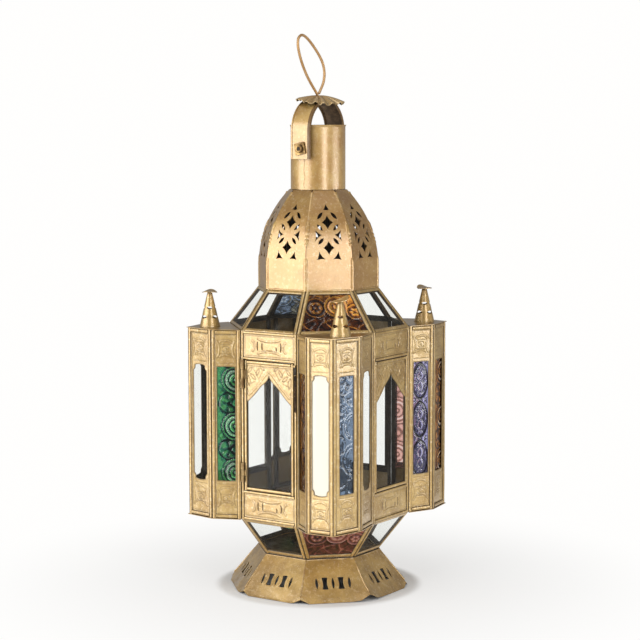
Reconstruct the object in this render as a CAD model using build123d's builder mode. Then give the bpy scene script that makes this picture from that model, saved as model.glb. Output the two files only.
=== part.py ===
from build123d import *
from collections import namedtuple
from math import cos, hypot, radians, sin, tan
import os

# Moroccan lantern of soldered tin came and glass: a flared foot, a glazed funnel, an eight-sided body with
# four flat sides and four projecting bays, a glazed roof, a pierced dome, an open neck and a pivoting bail.
# Millimetres, +Z up, origin at the centre of the foot on the table, the door's side faces -Y.
# An azimuth counts from the door's side towards +X.

# Levels above the table
FOOT_TOP = 37.7
BODY_BOTTOM = 76.9
BODY_TOP = 264.4
ROOF_TOP = 303.8
DOME_TOP = 400.3
NECK_TOP = 464.2
BAIL_PIVOT = 441.0
BAIL_TOP = 489.0

# Corner radii of the octagons, and half the angle that a bay takes of the body's circle
FOOT_RADIUS = 93.7
WAIST_RADIUS = 63.3
BODY_RADIUS = 93.2
DOME_RADIUS = 61.4
OCTAGON_HALF_ANGLE = 22.5
BAY_HALF_ANGLE = 24.2

# How far the cut planes run past the ends of a sloping facet, and how deep a mitre reaches into a wall
SLOPE_RUN_IN = 10.0
SLOPE_RUN_OUT = 6.0
MITRE_REACH = 8.0

# Plan of a bay: sideways and outward distances of its corners
BAY_SHOULDER = (27.0, 113.1)
BAY_RIDGE_REACH = 132.7
BAY_LEAN_FROM = 82.0
FRONT_RIGHT_LEAN = 0.227
FINIAL_REACH = 109.8

# Folded tin came: U-shaped strip that holds sheet and glass
CAME_DEPTH = 3.2
CAME_SKIN = 0.35
CAME_WEB = 0.6
CORNER_GAP = 0.5
SEAM = 0.05
GLASS = 1.6
SHEET = 0.5
SHELL = 0.8
LADDER_STRIP = 3.0
SASH_STRIP = 3.4
BAY_STRIP = 4.3
SLOPE_STRIP = 4.2
SLOPE_INSET = 2.8

# Sashes in the flat sides, levels counted from the body's bottom
SASH_BOTTOM = 29.7
SASH_HEIGHT = 129.0
SASH_SLIT = 0.4
DOOR_GAP = 0.5
ARCH_SPRING = 88.5
ARCH_APEX = 115.0

# Windows in the bays' stamped sheets, levels counted from the body's bottom
WINDOW_LOW = 38.0
WINDOW_HIGH = 151.0
WINDOW_HALF = 9.0
WINDOW_SHOULDER = 5.0
WINDOW_STEP = 2.2
WINDOW_LAP = 6.0

# Door hinge and latch
KNUCKLE_RADIUS = 1.5
KNUCKLE_OFFSET = 1.9
PIN_RADIUS = 0.8
PIN_CLEARANCE = 0.05
HINGES = ((115.0, 133.0), (208.0, 236.0))
LATCH_LEVEL = 233.8
LATCH_REACH = 8.0
LATCH_HALF = 1.3

# Neck and bail
NECK_RADIUS = 27.3
RIM_RADIUS = 28.2
STRAP_OUTER = 31.0
STRAP_INNER = 30.0
FLANGE_INNER = 28.6
STRAP_HALF = 11.0
STRAP_END = 431.0
SCREW_RADIUS = 2.0
WIRE_RADIUS = 1.35
CAP_RADIUS = 24.5
CAP_LEVEL = 491.7

# Candle holder
CUP_BORE = 11.5
CUP_DEPTH = 16.0

FLATS = ("front", "right", "back", "left")
BAYS = ("front_right", "back_right", "back_left", "front_left")
BAY_GLASS = {
    "front_right": ("amber", "clear", "blue", "clear"),
    "back_right": ("violet", "amber", "clear", "rose"),
    "back_left": ("clear", "clear", "clear", "clear"),
    "front_left": ("violet", "clear", "clear", "green"),
}
ROOF_GLASS = ("clear", "amber", "clear", "clear", "clear", "blue", "clear", "clear")
LOWER_GLASS = ("clear", "wine", "clear", "clear", "clear", "green", "clear", "clear")

# A flat facet: its plane has x along the lower edge, y up the slope and z outwards, the origin midway
# along the lower edge. The plan outline mitres the facet against its neighbours.
Panel = namedtuple("Panel", "plane bottom top height plan inset")

os.makedirs("parts", exist_ok=True)


def outward(azimuth):
    angle = radians(azimuth)
    return Vector(sin(angle), -cos(angle), 0)


def plan_point(azimuth, sideways, reach):
    return outward(azimuth + 90) * sideways + outward(azimuth) * reach


def upright_plane(azimuth, reach, level):
    """Vertical plane that faces outwards at this azimuth."""
    return Plane(
        origin=outward(azimuth) * reach + Vector(0, 0, level),
        x_dir=outward(azimuth + 90),
        z_dir=outward(azimuth),
    )


def chord(radius, half_angle):
    """Apothem and half width of a polygon's side."""
    return radius * cos(radians(half_angle)), radius * sin(radians(half_angle))


def side_half_angle(index):
    """Half the angle of the body's side: odd sides carry bays, even ones are the narrower flats."""
    return BAY_HALF_ANGLE if index % 2 else 45 - BAY_HALF_ANGLE


def slope_panel(azimuth, low, high, gap=CORNER_GAP):
    """Sloping facet between two chords, each given as (apothem, half width, level)."""
    across = outward(azimuth + 90)
    rise = outward(azimuth) * (high[0] - low[0]) + Vector(0, 0, high[2] - low[2])
    plane = Plane(
        origin=outward(azimuth) * low[0] + Vector(0, 0, low[2]),
        x_dir=across,
        z_dir=across.cross(rise),
    )
    widening = (high[1] - low[1]) / (high[0] - low[0])
    ends = [min(low[0], high[0]) - SLOPE_RUN_IN, max(low[0], high[0]) + SLOPE_RUN_OUT]
    halves = [low[1] + widening * (reach - low[0]) - gap for reach in ends]
    plan = [
        plan_point(azimuth, -halves[0], ends[0]),
        plan_point(azimuth, -halves[1], ends[1]),
        plan_point(azimuth, halves[1], ends[1]),
        plan_point(azimuth, halves[0], ends[0]),
    ]
    return Panel(plane, 2 * low[1], 2 * high[1], rise.length, plan, SLOPE_INSET)


def body_outline():
    """Corners of the body seen from above, anticlockwise: two for each flat side, three more for each bay."""
    corners = []
    flat_half = 45 - BAY_HALF_ANGLE
    for index, bay in enumerate(BAYS):
        azimuth = 90 * index
        corners.append(outward(azimuth - flat_half) * BODY_RADIUS)
        corners.append(outward(azimuth + flat_half) * BODY_RADIUS)
        corners += bay_corners(bay)
    return corners


def bay_corners(bay):
    """The three free corners of a bay, left to right seen from outside."""
    azimuth = 45 + 90 * BAYS.index(bay)
    lean = FRONT_RIGHT_LEAN if bay == "front_right" else 0
    corners = []
    for sideways, reach in (
        (-BAY_SHOULDER[0], BAY_SHOULDER[1]),
        (0, BAY_RIDGE_REACH),
        (BAY_SHOULDER[0], BAY_SHOULDER[1]),
    ):
        corners.append(plan_point(azimuth, sideways - lean * (reach - BAY_LEAN_FROM), reach))
    return corners


def wall_panel(outline, index):
    """Upright facet from one corner of the body's outline to the next."""
    before, start, end, after = (outline[(index + step) % len(outline)] for step in (-1, 0, 1, 2))
    run = (end - start).normalized()
    facing = Vector(run.Y, -run.X, 0)
    inner = []
    outer = []
    turns = []
    for corner, neighbour_run, sign in ((start, (start - before), 1), (end, (after - end), -1)):
        neighbour_run = neighbour_run.normalized()
        neighbour_facing = Vector(neighbour_run.Y, -neighbour_run.X, 0)
        convex = run.cross(neighbour_run).Z * sign < 0
        gap = CORNER_GAP if convex else SEAM
        inward = -(facing + neighbour_facing).normalized() if convex else -facing
        turns.append(run.get_angle(neighbour_run) if convex else 0)
        outer.append(corner + run * gap * sign)
        inner.append(corner + run * gap * sign + inward * MITRE_REACH)
    plan = [outer[0] + facing, outer[0], inner[0], inner[1], outer[1], outer[1] + facing]
    width = (end - start).length
    plane = Plane(origin=(start + end) / 2 + Vector(0, 0, BODY_BOTTOM), x_dir=run, z_dir=facing)
    inset = CORNER_GAP + CAME_DEPTH * tan(radians(max(turns) / 2)) + CAME_WEB
    return Panel(plane, width, width, BODY_TOP - BODY_BOTTOM, plan, inset)


def half_width(panel, level):
    return (panel.bottom + (panel.top - panel.bottom) * level / panel.height) / 2


def band(panel, margin, low, high):
    """Corners of the facet between two levels, its slanting sides moved in by a margin."""
    slant = hypot(1, (panel.bottom - panel.top) / 2 / panel.height)
    low_half = half_width(panel, low) - margin * slant
    high_half = half_width(panel, high) - margin * slant
    return [(-low_half, low), (low_half, low), (high_half, high), (-high_half, high)]


def came_strips(panel, strip, rails, grooves):
    """Two stiles and the rails between them, each a separate strip, grooved for the panes."""
    with BuildPart() as strips:
        with BuildSketch(panel.plane):
            outline = band(panel, 0, 0, panel.height)
            window = band(panel, strip, 0, panel.height)
            for left, right in ((0, 3), (1, 2)):
                with BuildLine():
                    Polyline(outline[left], outline[right], window[right], window[left], close=True)
                make_face()
            for low, high in rails:
                with BuildLine():
                    Polyline(*band(panel, strip + SEAM, low, high), close=True)
                make_face()
        extrude(amount=-CAME_DEPTH)
        with BuildSketch(panel.plane.offset(-CAME_SKIN)):
            for low, high in grooves:
                with BuildLine():
                    Polyline(*band(panel, panel.inset, low, high), close=True)
                make_face()
        extrude(amount=2 * CAME_SKIN - CAME_DEPTH, mode=Mode.SUBTRACT)
        with BuildSketch():
            with BuildLine():
                Polyline(*panel.plan, close=True)
            make_face()
        extrude(amount=NECK_TOP, mode=Mode.INTERSECT)
    return strips.part


def pane(panel, low, high, depth, thickness):
    """Plate or glass that fills a facet between two levels, at a depth below its outer face."""
    with BuildPart() as plate:
        with BuildSketch(panel.plane.offset(-depth)):
            with BuildLine():
                Polyline(*band(panel, panel.inset + 2 * SEAM, low, high), close=True)
            make_face()
        extrude(amount=-thickness)
    return plate.part


def bowed_outline(points, bows):
    """Closed outline, anticlockwise, whose sides bow outwards, or inwards where the bow is negative."""
    with BuildLine() as outline:
        for start, end, bow in zip(points, points[1:] + points[:1], bows):
            start = Vector(*start)
            end = Vector(*end)
            along = (end - start).normalized()
            middle = (start + end) / 2 + Vector(along.Y, -along.X, 0) * bow
            ThreePointArc(start, middle, end)
    return outline.edges()


def lens(center, length, width, angle):
    tip = Vector(length / 2, 0, 0).rotate(Axis.Z, angle)
    center = Vector(*center)
    return bowed_outline([tuple(center - tip), tuple(center + tip)], [width / 2, width / 2])


def finish(name, node):
    node.part.label = name
    export_step(node.part, f"parts/{name}.step")


def finish_group(name, pieces):
    """One node of several separate solids."""
    with BuildPart() as node:
        for piece in pieces:
            add(piece)
    finish(name, node)


# ---------------------------------------------------------------- foot and base

foot_low = chord(FOOT_RADIUS, OCTAGON_HALF_ANGLE)
waist = chord(WAIST_RADIUS, OCTAGON_HALF_ANGLE)
FOOT_SLOT_LEVEL = 21.0
FOOT_SLOT_HALF = 6.0
FOOT_LENSES = (-16.4, 0, 16.4)
FOOT_LENS_WIDTH = 2.8
FOOT_SPOOLS = (-8.1, 8.1)
FOOT_SPOOL_HALF = 3.0
FOOT_HEM_HALF = 26.0
FOOT_CLIP = (36.0, 6.0)
FOOT_CROWN = (25.0, 48.0)


def foot_facet(azimuth):
    """Flared tin facet with clipped lower corners and a row of lens and spool slots."""
    right_edge = [(FOOT_HEM_HALF, -2), (FOOT_HEM_HALF, 0), FOOT_CLIP, FOOT_CROWN]
    left_edge = [(-x, y) for x, y in reversed(right_edge)]
    panel = slope_panel(azimuth, (*foot_low, 0), (*waist, FOOT_TOP - SEAM), gap=SEAM)
    with BuildPart() as facet:
        with BuildSketch(panel.plane):
            with BuildLine():
                Polyline(*right_edge, *left_edge, close=True)
            make_face()
        extrude(amount=-SHELL)
        with BuildSketch():
            with BuildLine():
                Polyline(*panel.plan, close=True)
            make_face()
        extrude(amount=FOOT_TOP - SEAM, mode=Mode.INTERSECT)
        with BuildSketch(panel.plane.offset(1)):
            for x in FOOT_LENSES:
                make_face(lens((x, FOOT_SLOT_LEVEL), 2 * FOOT_SLOT_HALF, FOOT_LENS_WIDTH, 90))
            low = FOOT_SLOT_LEVEL - FOOT_SLOT_HALF
            high = FOOT_SLOT_LEVEL + FOOT_SLOT_HALF
            for x in FOOT_SPOOLS:
                left = x - FOOT_SPOOL_HALF
                right = x + FOOT_SPOOL_HALF
                corners = [(left, low), (right, low), (right, high), (left, high)]
                make_face(bowed_outline(corners, [0.4, -0.9, 0.4, -0.9]))
        extrude(amount=-4, mode=Mode.SUBTRACT)
    return facet.part


finish_group("foot_skirt", [foot_facet(45 * k) for k in range(8)])

BASE_INSET = 0.6
with BuildPart() as base_plate:
    with BuildSketch(Plane.XY.offset(FOOT_TOP)):
        RegularPolygon(radius=WAIST_RADIUS - BASE_INSET, side_count=8, rotation=OCTAGON_HALF_ANGLE)
    extrude(amount=SHELL)
finish("base_plate", base_plate)

PAN_LEVEL = FOOT_TOP + SHELL
PAN_FLOOR = 24.0
PAN_RIM = 30.0
PAN_HEIGHT = 7.0
with BuildPart() as drip_pan:
    with BuildSketch(Plane.XZ):
        with BuildLine():
            Polyline(
                (0, PAN_LEVEL),
                (PAN_FLOOR, PAN_LEVEL),
                (PAN_RIM, PAN_LEVEL + PAN_HEIGHT),
                (PAN_RIM - 0.9, PAN_LEVEL + PAN_HEIGHT + 0.3),
                (PAN_FLOOR - 0.4, PAN_LEVEL + SHELL),
                (0, PAN_LEVEL + SHELL),
                close=True,
            )
        make_face()
    revolve(axis=Axis.Z)
finish("drip_pan", drip_pan)

CUP_LEVEL = PAN_LEVEL + SHELL
with BuildPart() as candle_cup:
    with BuildSketch(Plane.XY.offset(CUP_LEVEL)):
        Circle(CUP_BORE + SHELL)
    extrude(amount=SHELL + CUP_DEPTH)
    with BuildSketch(Plane.XY.offset(CUP_LEVEL + SHELL)):
        Circle(CUP_BORE)
    extrude(amount=CUP_DEPTH, mode=Mode.SUBTRACT)
finish("candle_cup", candle_cup)

# ---------------------------------------------------------------- lower glazing


def glazed_slopes(panels, colours, prefix, floor, ceiling):
    """Frames and panes of a ring of sloping facets, the frames trimmed level at floor and ceiling."""
    frames = []
    panes = {}
    for panel, colour in zip(panels, colours):
        rails = [(0, SLOPE_STRIP), (panel.height - SLOPE_STRIP, panel.height)]
        grooves = [(panel.inset, panel.height - panel.inset)]
        strips = came_strips(panel, SLOPE_STRIP, rails, grooves)
        with BuildPart() as trimmed:
            with BuildSketch(Plane.XY.offset(floor)):
                Rectangle(4 * BODY_RADIUS, 4 * BODY_RADIUS)
            extrude(amount=ceiling - floor)
            add(strips, mode=Mode.INTERSECT)
        frames.append(trimmed.part)
        low, high = panel.inset + 2 * SEAM, panel.height - panel.inset - 2 * SEAM
        glass = pane(panel, low, high, (CAME_DEPTH - GLASS) / 2, GLASS)
        panes.setdefault(colour, []).append(glass)
    finish_group(f"{prefix}_frames", frames)
    for colour, group in panes.items():
        finish_group(f"{prefix}_glass_{colour}", group)


lower_panels = []
roof_panels = []
dome_chord = chord(DOME_RADIUS, OCTAGON_HALF_ANGLE)
for k in range(8):
    body_chord = chord(BODY_RADIUS, side_half_angle(k))
    lower_panels.append(slope_panel(45 * k, (*waist, PAN_LEVEL), (*body_chord, BODY_BOTTOM)))
    roof_panels.append(slope_panel(45 * k, (*body_chord, BODY_TOP), (*dome_chord, ROOF_TOP)))

glazed_slopes(lower_panels, LOWER_GLASS, "lower", PAN_LEVEL + SEAM, BODY_BOTTOM - SEAM)
glazed_slopes(roof_panels, ROOF_GLASS, "roof", BODY_TOP + SEAM, ROOF_TOP - SEAM)

# ---------------------------------------------------------------- flat sides

outline = body_outline()
flat_panels = [wall_panel(outline, 5 * k)._replace(inset=CAME_WEB + SEAM) for k in range(4)]
SASH_TOP = SASH_BOTTOM + SASH_HEIGHT
LOWER_RAIL = (SASH_BOTTOM - SASH_SLIT - LADDER_STRIP, SASH_BOTTOM - SASH_SLIT)
UPPER_RAIL = (SASH_TOP + SASH_SLIT, SASH_TOP + SASH_SLIT + LADDER_STRIP)
WALL_HEIGHT = BODY_TOP - BODY_BOTTOM
LOWER_GROOVE = (CAME_WEB, LOWER_RAIL[1] - CAME_WEB)
UPPER_GROOVE = (UPPER_RAIL[0] + CAME_WEB, WALL_HEIGHT - CAME_WEB)

upper_plates = []
lower_plates = []
for side, panel in zip(FLATS, flat_panels):
    rails = [(0, LADDER_STRIP), LOWER_RAIL, UPPER_RAIL, (WALL_HEIGHT - LADDER_STRIP, WALL_HEIGHT)]
    finish_group(f"{side}_frame", [came_strips(panel, LADDER_STRIP, rails, [LOWER_GROOVE, UPPER_GROOVE])])
    for plates, groove in ((lower_plates, LOWER_GROOVE), (upper_plates, UPPER_GROOVE)):
        plates.append(pane(panel, groove[0] + 2 * SEAM, groove[1] - 2 * SEAM, CAME_SKIN + SEAM, SHEET))
finish_group("lower_plates", lower_plates)
finish_group("upper_plates", upper_plates)


def sash_panel(panel, gap):
    """Facet of a sash that fills the middle opening of a flat side, with a gap at its sides."""
    width = panel.bottom - 2 * (LADDER_STRIP + gap)
    plane = Plane(
        origin=panel.plane.from_local_coords((0, SASH_BOTTOM, 0)),
        x_dir=panel.plane.x_dir,
        z_dir=panel.plane.z_dir,
    )
    middle = Vector(panel.plane.origin.X, panel.plane.origin.Y, 0)
    across = panel.plane.x_dir * width / 2
    inward = panel.plane.z_dir * -MITRE_REACH
    left = middle - across
    right = middle + across
    plan = [left - inward, left + inward, right + inward, right - inward]
    return Panel(plane, width, width, SASH_HEIGHT, plan, CAME_WEB)


# The arch's curve from its foot to just under its point: how far in from the foot and up from the spring line
ARCH_CURVE = ((0, 0), (5, 4.5), (10, 9.5), (16, 16), (21, 20))
ARCH_LIP = 1.0


def arch_plate(panel):
    """Stamped plate with a pointed, waisted arch cut from its lower edge."""
    edge = half_width(panel, 0) - panel.inset - 2 * SEAM
    top = panel.height - panel.inset - 2 * SEAM
    mouth = half_width(panel, 0) - SASH_STRIP - ARCH_LIP
    with BuildPart() as plate:
        with BuildSketch(panel.plane.offset(-CAME_SKIN - SEAM)):
            with BuildLine():
                Polyline((mouth, ARCH_SPRING), (edge, ARCH_SPRING), (edge, top), (-edge, top))
                Polyline((-edge, top), (-edge, ARCH_SPRING), (-mouth, ARCH_SPRING))
                for side in (-1, 1):
                    curve = [(side * (mouth - x), ARCH_SPRING + y) for x, y in ARCH_CURVE]
                    Spline(*curve, (0, ARCH_APEX))
            make_face()
        extrude(amount=-SHEET)
    return plate.part


def sash_strips(panel):
    rails = [(0, SASH_STRIP), (panel.height - SASH_STRIP, panel.height)]
    return came_strips(panel, SASH_STRIP, rails, [(CAME_WEB, panel.height - CAME_WEB)])


def sash_glass(panel):
    margin = CAME_WEB + 2 * SEAM
    return pane(panel, margin, panel.height - margin, CAME_SKIN + SHEET + 2 * SEAM, GLASS)


fixed_panels = [sash_panel(panel, SEAM) for panel in flat_panels[1:]]
finish_group("fixed_sashes", [sash_strips(panel) for panel in fixed_panels])
finish_group("fixed_arch_plates", [arch_plate(panel) for panel in fixed_panels])
finish_group("fixed_sash_glass", [sash_glass(panel) for panel in fixed_panels])

door_panel = sash_panel(flat_panels[0], DOOR_GAP)
finish_group("door_sash", [sash_strips(door_panel)])
finish_group("door_arch_plate", [arch_plate(door_panel)])
finish_group("door_glass", [sash_glass(door_panel)])

# ---------------------------------------------------------------- door hinge and latch

FACE = chord(BODY_RADIUS, 45 - BAY_HALF_ANGLE)[0]
FLAT_HALF = chord(BODY_RADIUS, 45 - BAY_HALF_ANGLE)[1]
HINGE_X = -FLAT_HALF + LADDER_STRIP + DOOR_GAP / 2
HINGE_Y = -FACE - KNUCKLE_OFFSET
LEAF = 0.8
NECK_OF_KNUCKLE = (0.9, 1.6)
KNUCKLE_SLACK = 0.2


def knuckle(low, high, side):
    """Rolled knuckle with a leaf over the stile on one side of the hinge line."""
    reach = LADDER_STRIP - KNUCKLE_SLACK
    with BuildPart() as rolled:
        with BuildSketch(Plane.XY.offset(low)):
            with Locations((HINGE_X, HINGE_Y)):
                Circle(KNUCKLE_RADIUS)
            with Locations((HINGE_X + side * (reach / 2 + DOOR_GAP / 2), -FACE - LEAF / 2)):
                Rectangle(reach, LEAF)
            neck_x = HINGE_X + side * (KNUCKLE_RADIUS - NECK_OF_KNUCKLE[0] / 2)
            with Locations((neck_x, HINGE_Y + NECK_OF_KNUCKLE[1] / 2)):
                Rectangle(*NECK_OF_KNUCKLE)
            with Locations((HINGE_X, HINGE_Y)):
                Circle(PIN_RADIUS + PIN_CLEARANCE, mode=Mode.SUBTRACT)
        extrude(amount=high - low)
    return rolled.part


frame_knuckles = []
door_knuckles = []
for bottom, top in HINGES:
    third = (top - bottom) / 3
    frame_knuckles.append(knuckle(bottom, bottom + third - KNUCKLE_SLACK, -1))
    door_knuckles.append(knuckle(bottom + third + KNUCKLE_SLACK, top - third - KNUCKLE_SLACK, 1))
    frame_knuckles.append(knuckle(top - third + KNUCKLE_SLACK, top, -1))
finish_group("frame_knuckles", frame_knuckles)
finish_group("door_knuckles", door_knuckles)

PIN_END = 0.6
with BuildPart() as hinge_pins:
    for bottom, top in HINGES:
        with BuildSketch(Plane.XY.offset(bottom - PIN_END)):
            with Locations((HINGE_X, HINGE_Y)):
                Circle(PIN_RADIUS)
        extrude(amount=top - bottom + 2 * PIN_END)
        with BuildSketch(Plane.XY.offset(top + 0.1)):
            with Locations((HINGE_X, HINGE_Y)):
                Circle(KNUCKLE_RADIUS - 0.2)
        extrude(amount=0.8)
finish("hinge_pins", hinge_pins)

LATCH_X = FLAT_HALF - 1.2
LATCH_FACE = Plane(origin=(LATCH_X, -FACE - 0.4, LATCH_LEVEL), x_dir=(1, 0, 0), z_dir=(0, -1, 0))
with BuildPart() as latch_button:
    with BuildSketch(LATCH_FACE):
        with Locations((0, -LATCH_REACH / 2)):
            SlotCenterToCenter(LATCH_REACH - LATCH_HALF, 2 * LATCH_HALF, rotation=90)
        with Locations((0, -LATCH_REACH + LATCH_HALF)):
            Circle(LATCH_HALF + 0.25)
        Circle(0.7, mode=Mode.SUBTRACT)
    extrude(amount=0.8)
finish("latch_button", latch_button)

with BuildPart() as latch_rivet:
    with BuildSketch(LATCH_FACE.offset(-0.4)):
        Circle(0.63)
    extrude(amount=1.6)
    with BuildSketch(LATCH_FACE.offset(1.0)):
        Circle(1.25)
    extrude(amount=0.7)
    fillet(latch_rivet.faces().sort_by(Axis.Y)[0].edges(), 0.4)
finish("latch_rivet", latch_rivet)

# ---------------------------------------------------------------- bays


def bay_window(half, low, high, straight):
    """Outline of a bay window: plain ends for coloured glass, stepped round ends for clear glass."""
    if straight:
        return bowed_outline([(-half, low), (half, low), (half, high), (-half, high)], [0.3, 0.2, 0.3, 0.2])
    shoulder = WINDOW_SHOULDER
    neck = half - WINDOW_STEP
    points = [
        (-neck, low),
        (neck, low),
        (half, low + shoulder),
        (half, high - shoulder),
        (neck, high),
        (-neck, high),
        (-half, high - shoulder),
        (-half, low + shoulder),
    ]
    return bowed_outline(points, [1.2, -0.9, 0.05, -0.9, 1.2, -0.9, 0.05, -0.9])


def bay_sheet(panel, coloured):
    """Stamped sheet of one bay face with its window."""
    margin = CAME_WEB + 2 * SEAM
    with BuildPart() as sheet:
        with BuildSketch(panel.plane.offset(-CAME_SKIN - SEAM)):
            with BuildLine():
                Polyline(*band(panel, panel.inset + 2 * SEAM, margin, panel.height - margin), close=True)
            make_face()
            make_face(bay_window(WINDOW_HALF, WINDOW_LOW, WINDOW_HIGH, coloured), mode=Mode.SUBTRACT)
        extrude(amount=-SHEET)
    return sheet.part


bay_panes = {}
for bay_index, bay in enumerate(BAYS):
    strips = []
    sheets = []
    for face, colour in enumerate(BAY_GLASS[bay]):
        panel = wall_panel(outline, 5 * bay_index + 1 + face)
        rails = [(0, BAY_STRIP), (panel.height - BAY_STRIP, panel.height)]
        grooves = [(CAME_WEB, panel.height - CAME_WEB)]
        strips.append(came_strips(panel, BAY_STRIP, rails, grooves))
        sheets.append(bay_sheet(panel, colour != "clear"))
        depth = CAME_SKIN + SHEET + 2 * SEAM
        glass = pane(panel, WINDOW_LOW - WINDOW_LAP, WINDOW_HIGH + WINDOW_LAP, depth, GLASS)
        bay_panes.setdefault(colour, []).append(glass)
    finish_group(f"{bay}_bay_frames", strips)
    finish_group(f"{bay}_bay_sheets", sheets)
for colour, group in bay_panes.items():
    finish_group(f"bay_glass_{colour}", group)

COVER = 0.6
COVER_OVERHANG = 0.5
COVER_CLEARANCE = 0.4


def bay_cover(bay, level):
    """Flat plate that closes a bay at top or bottom, from the wall line to just past the bay's faces."""
    azimuth = 45 + 90 * BAYS.index(bay)
    reach, half = chord(BODY_RADIUS, BAY_HALF_ANGLE)
    with BuildPart() as cover:
        with BuildSketch(Plane.XY.offset(level)):
            with BuildLine():
                left = plan_point(azimuth, -half, reach)
                right = plan_point(azimuth, half, reach)
                Polyline(left, *bay_corners(bay), right, close=True)
            make_face()
            offset(amount=COVER_OVERHANG, kind=Kind.INTERSECTION)
            with BuildLine():
                back_left = plan_point(azimuth, -1.5 * half, reach + COVER_CLEARANCE)
                back_right = plan_point(azimuth, 1.5 * half, reach + COVER_CLEARANCE)
                Polyline(back_left, back_right, back_right * 0.7, back_left * 0.7, close=True)
            make_face(mode=Mode.SUBTRACT)
        extrude(amount=COVER)
    return cover.part


TOP_COVER_LEVEL = BODY_TOP + SEAM
finish_group("bay_top_covers", [bay_cover(bay, TOP_COVER_LEVEL) for bay in BAYS])
finish_group("bay_bottom_covers", [bay_cover(bay, BODY_BOTTOM - SEAM - COVER) for bay in BAYS])

# ---------------------------------------------------------------- finials

CONE_HEIGHT = 34.0
CONE_FOOT = 10.3
CONE_TIP = 2.3
CONE_WALL = 0.6
CONE_PLUG = 3.0
CONE_LEVEL = TOP_COVER_LEVEL + COVER
# Rows of slots: height above the cone's foot, azimuth of the first, length and width
CONE_SLOTS = ((10.0, -11, 7.6, 3.2), (19.0, 34, 6.0, 2.9))
finial_spots = [plan_point(45 + 90 * k, 0, FINIAL_REACH) for k in range(4)]

with BuildPart() as finial_cone:
    with BuildSketch(Plane.XZ):
        with BuildLine():
            Polyline(
                (CONE_FOOT, CONE_LEVEL),
                (CONE_TIP, CONE_LEVEL + CONE_HEIGHT),
                (0, CONE_LEVEL + CONE_HEIGHT),
                (0, CONE_LEVEL + CONE_HEIGHT - CONE_PLUG),
                (CONE_TIP - CONE_WALL, CONE_LEVEL + CONE_HEIGHT - CONE_PLUG),
                (CONE_FOOT - CONE_WALL, CONE_LEVEL),
                close=True,
            )
        make_face()
    revolve(axis=Axis.Z)
    for row_height, turn, slot_length, slot_width in CONE_SLOTS:
        for quarter in range(4):
            with BuildSketch(upright_plane(turn + 90 * quarter, 1.5, CONE_LEVEL + row_height)):
                make_face(lens((0, 0), slot_length, slot_width, 0))
            extrude(amount=12, mode=Mode.SUBTRACT)

with BuildPart() as finial_cones:
    with Locations(*finial_spots):
        add(finial_cone.part)
finish("finial_cones", finial_cones)

DISC_LEVEL = CONE_LEVEL + CONE_HEIGHT
DISC_FLAT = 2.5
DISC_RADIUS = 7.6
DISC_CURL = 1.9
DISC_SHEET = 0.7
with BuildPart() as finial_disc:
    with BuildSketch(Plane.XZ):
        with BuildLine():
            Polyline(
                (0, DISC_LEVEL),
                (DISC_FLAT, DISC_LEVEL),
                (DISC_RADIUS, DISC_LEVEL + DISC_CURL),
                (DISC_RADIUS - 0.2, DISC_LEVEL + DISC_CURL + DISC_SHEET - 0.1),
                (DISC_FLAT - 0.2, DISC_LEVEL + DISC_SHEET),
                (0, DISC_LEVEL + DISC_SHEET),
                close=True,
            )
        make_face()
    revolve(axis=Axis.Z)

with BuildPart() as finial_discs:
    with Locations(*finial_spots):
        add(finial_disc.part)
finish("finial_discs", finial_discs)

# ---------------------------------------------------------------- dome

DOME_WALL_TOP = 324.6
DOME_BEND = 112.0
DOME_SWEEP = 42.5
DOME_CLEARANCE = 0.1
FRET_LEVEL = 357.5

# Fretwork of a gore, measured from its centre on an upright plane: diamonds and leaves as (middle, half
# sizes) and (middle, length, width, slant), then three-cornered holes on the right and at the top
FRET_DIAMONDS = ((0, 12.2), (0, -12.2))
DIAMOND_HALF = (5.7, 6.8)
FRET_LEAVES = ((6.9, 18.6, 8.8, 3.1, -48), (8.0, 7.4, 8.2, 3.0, 48), (7.5, -5.8, 8.4, 3.1, -48))
FRET_CHEEK = ((6.3, 0.2), (13.4, -6.2), (12.6, 5.2))
FRET_TOE = ((3.6, -23.4), (12.4, -24.0), (9.8, -15.2))
FRET_PEAK = ((-2.9, 24.4), (2.9, 24.4), (0, 29.6))
FRET_BOW = -0.7

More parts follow.
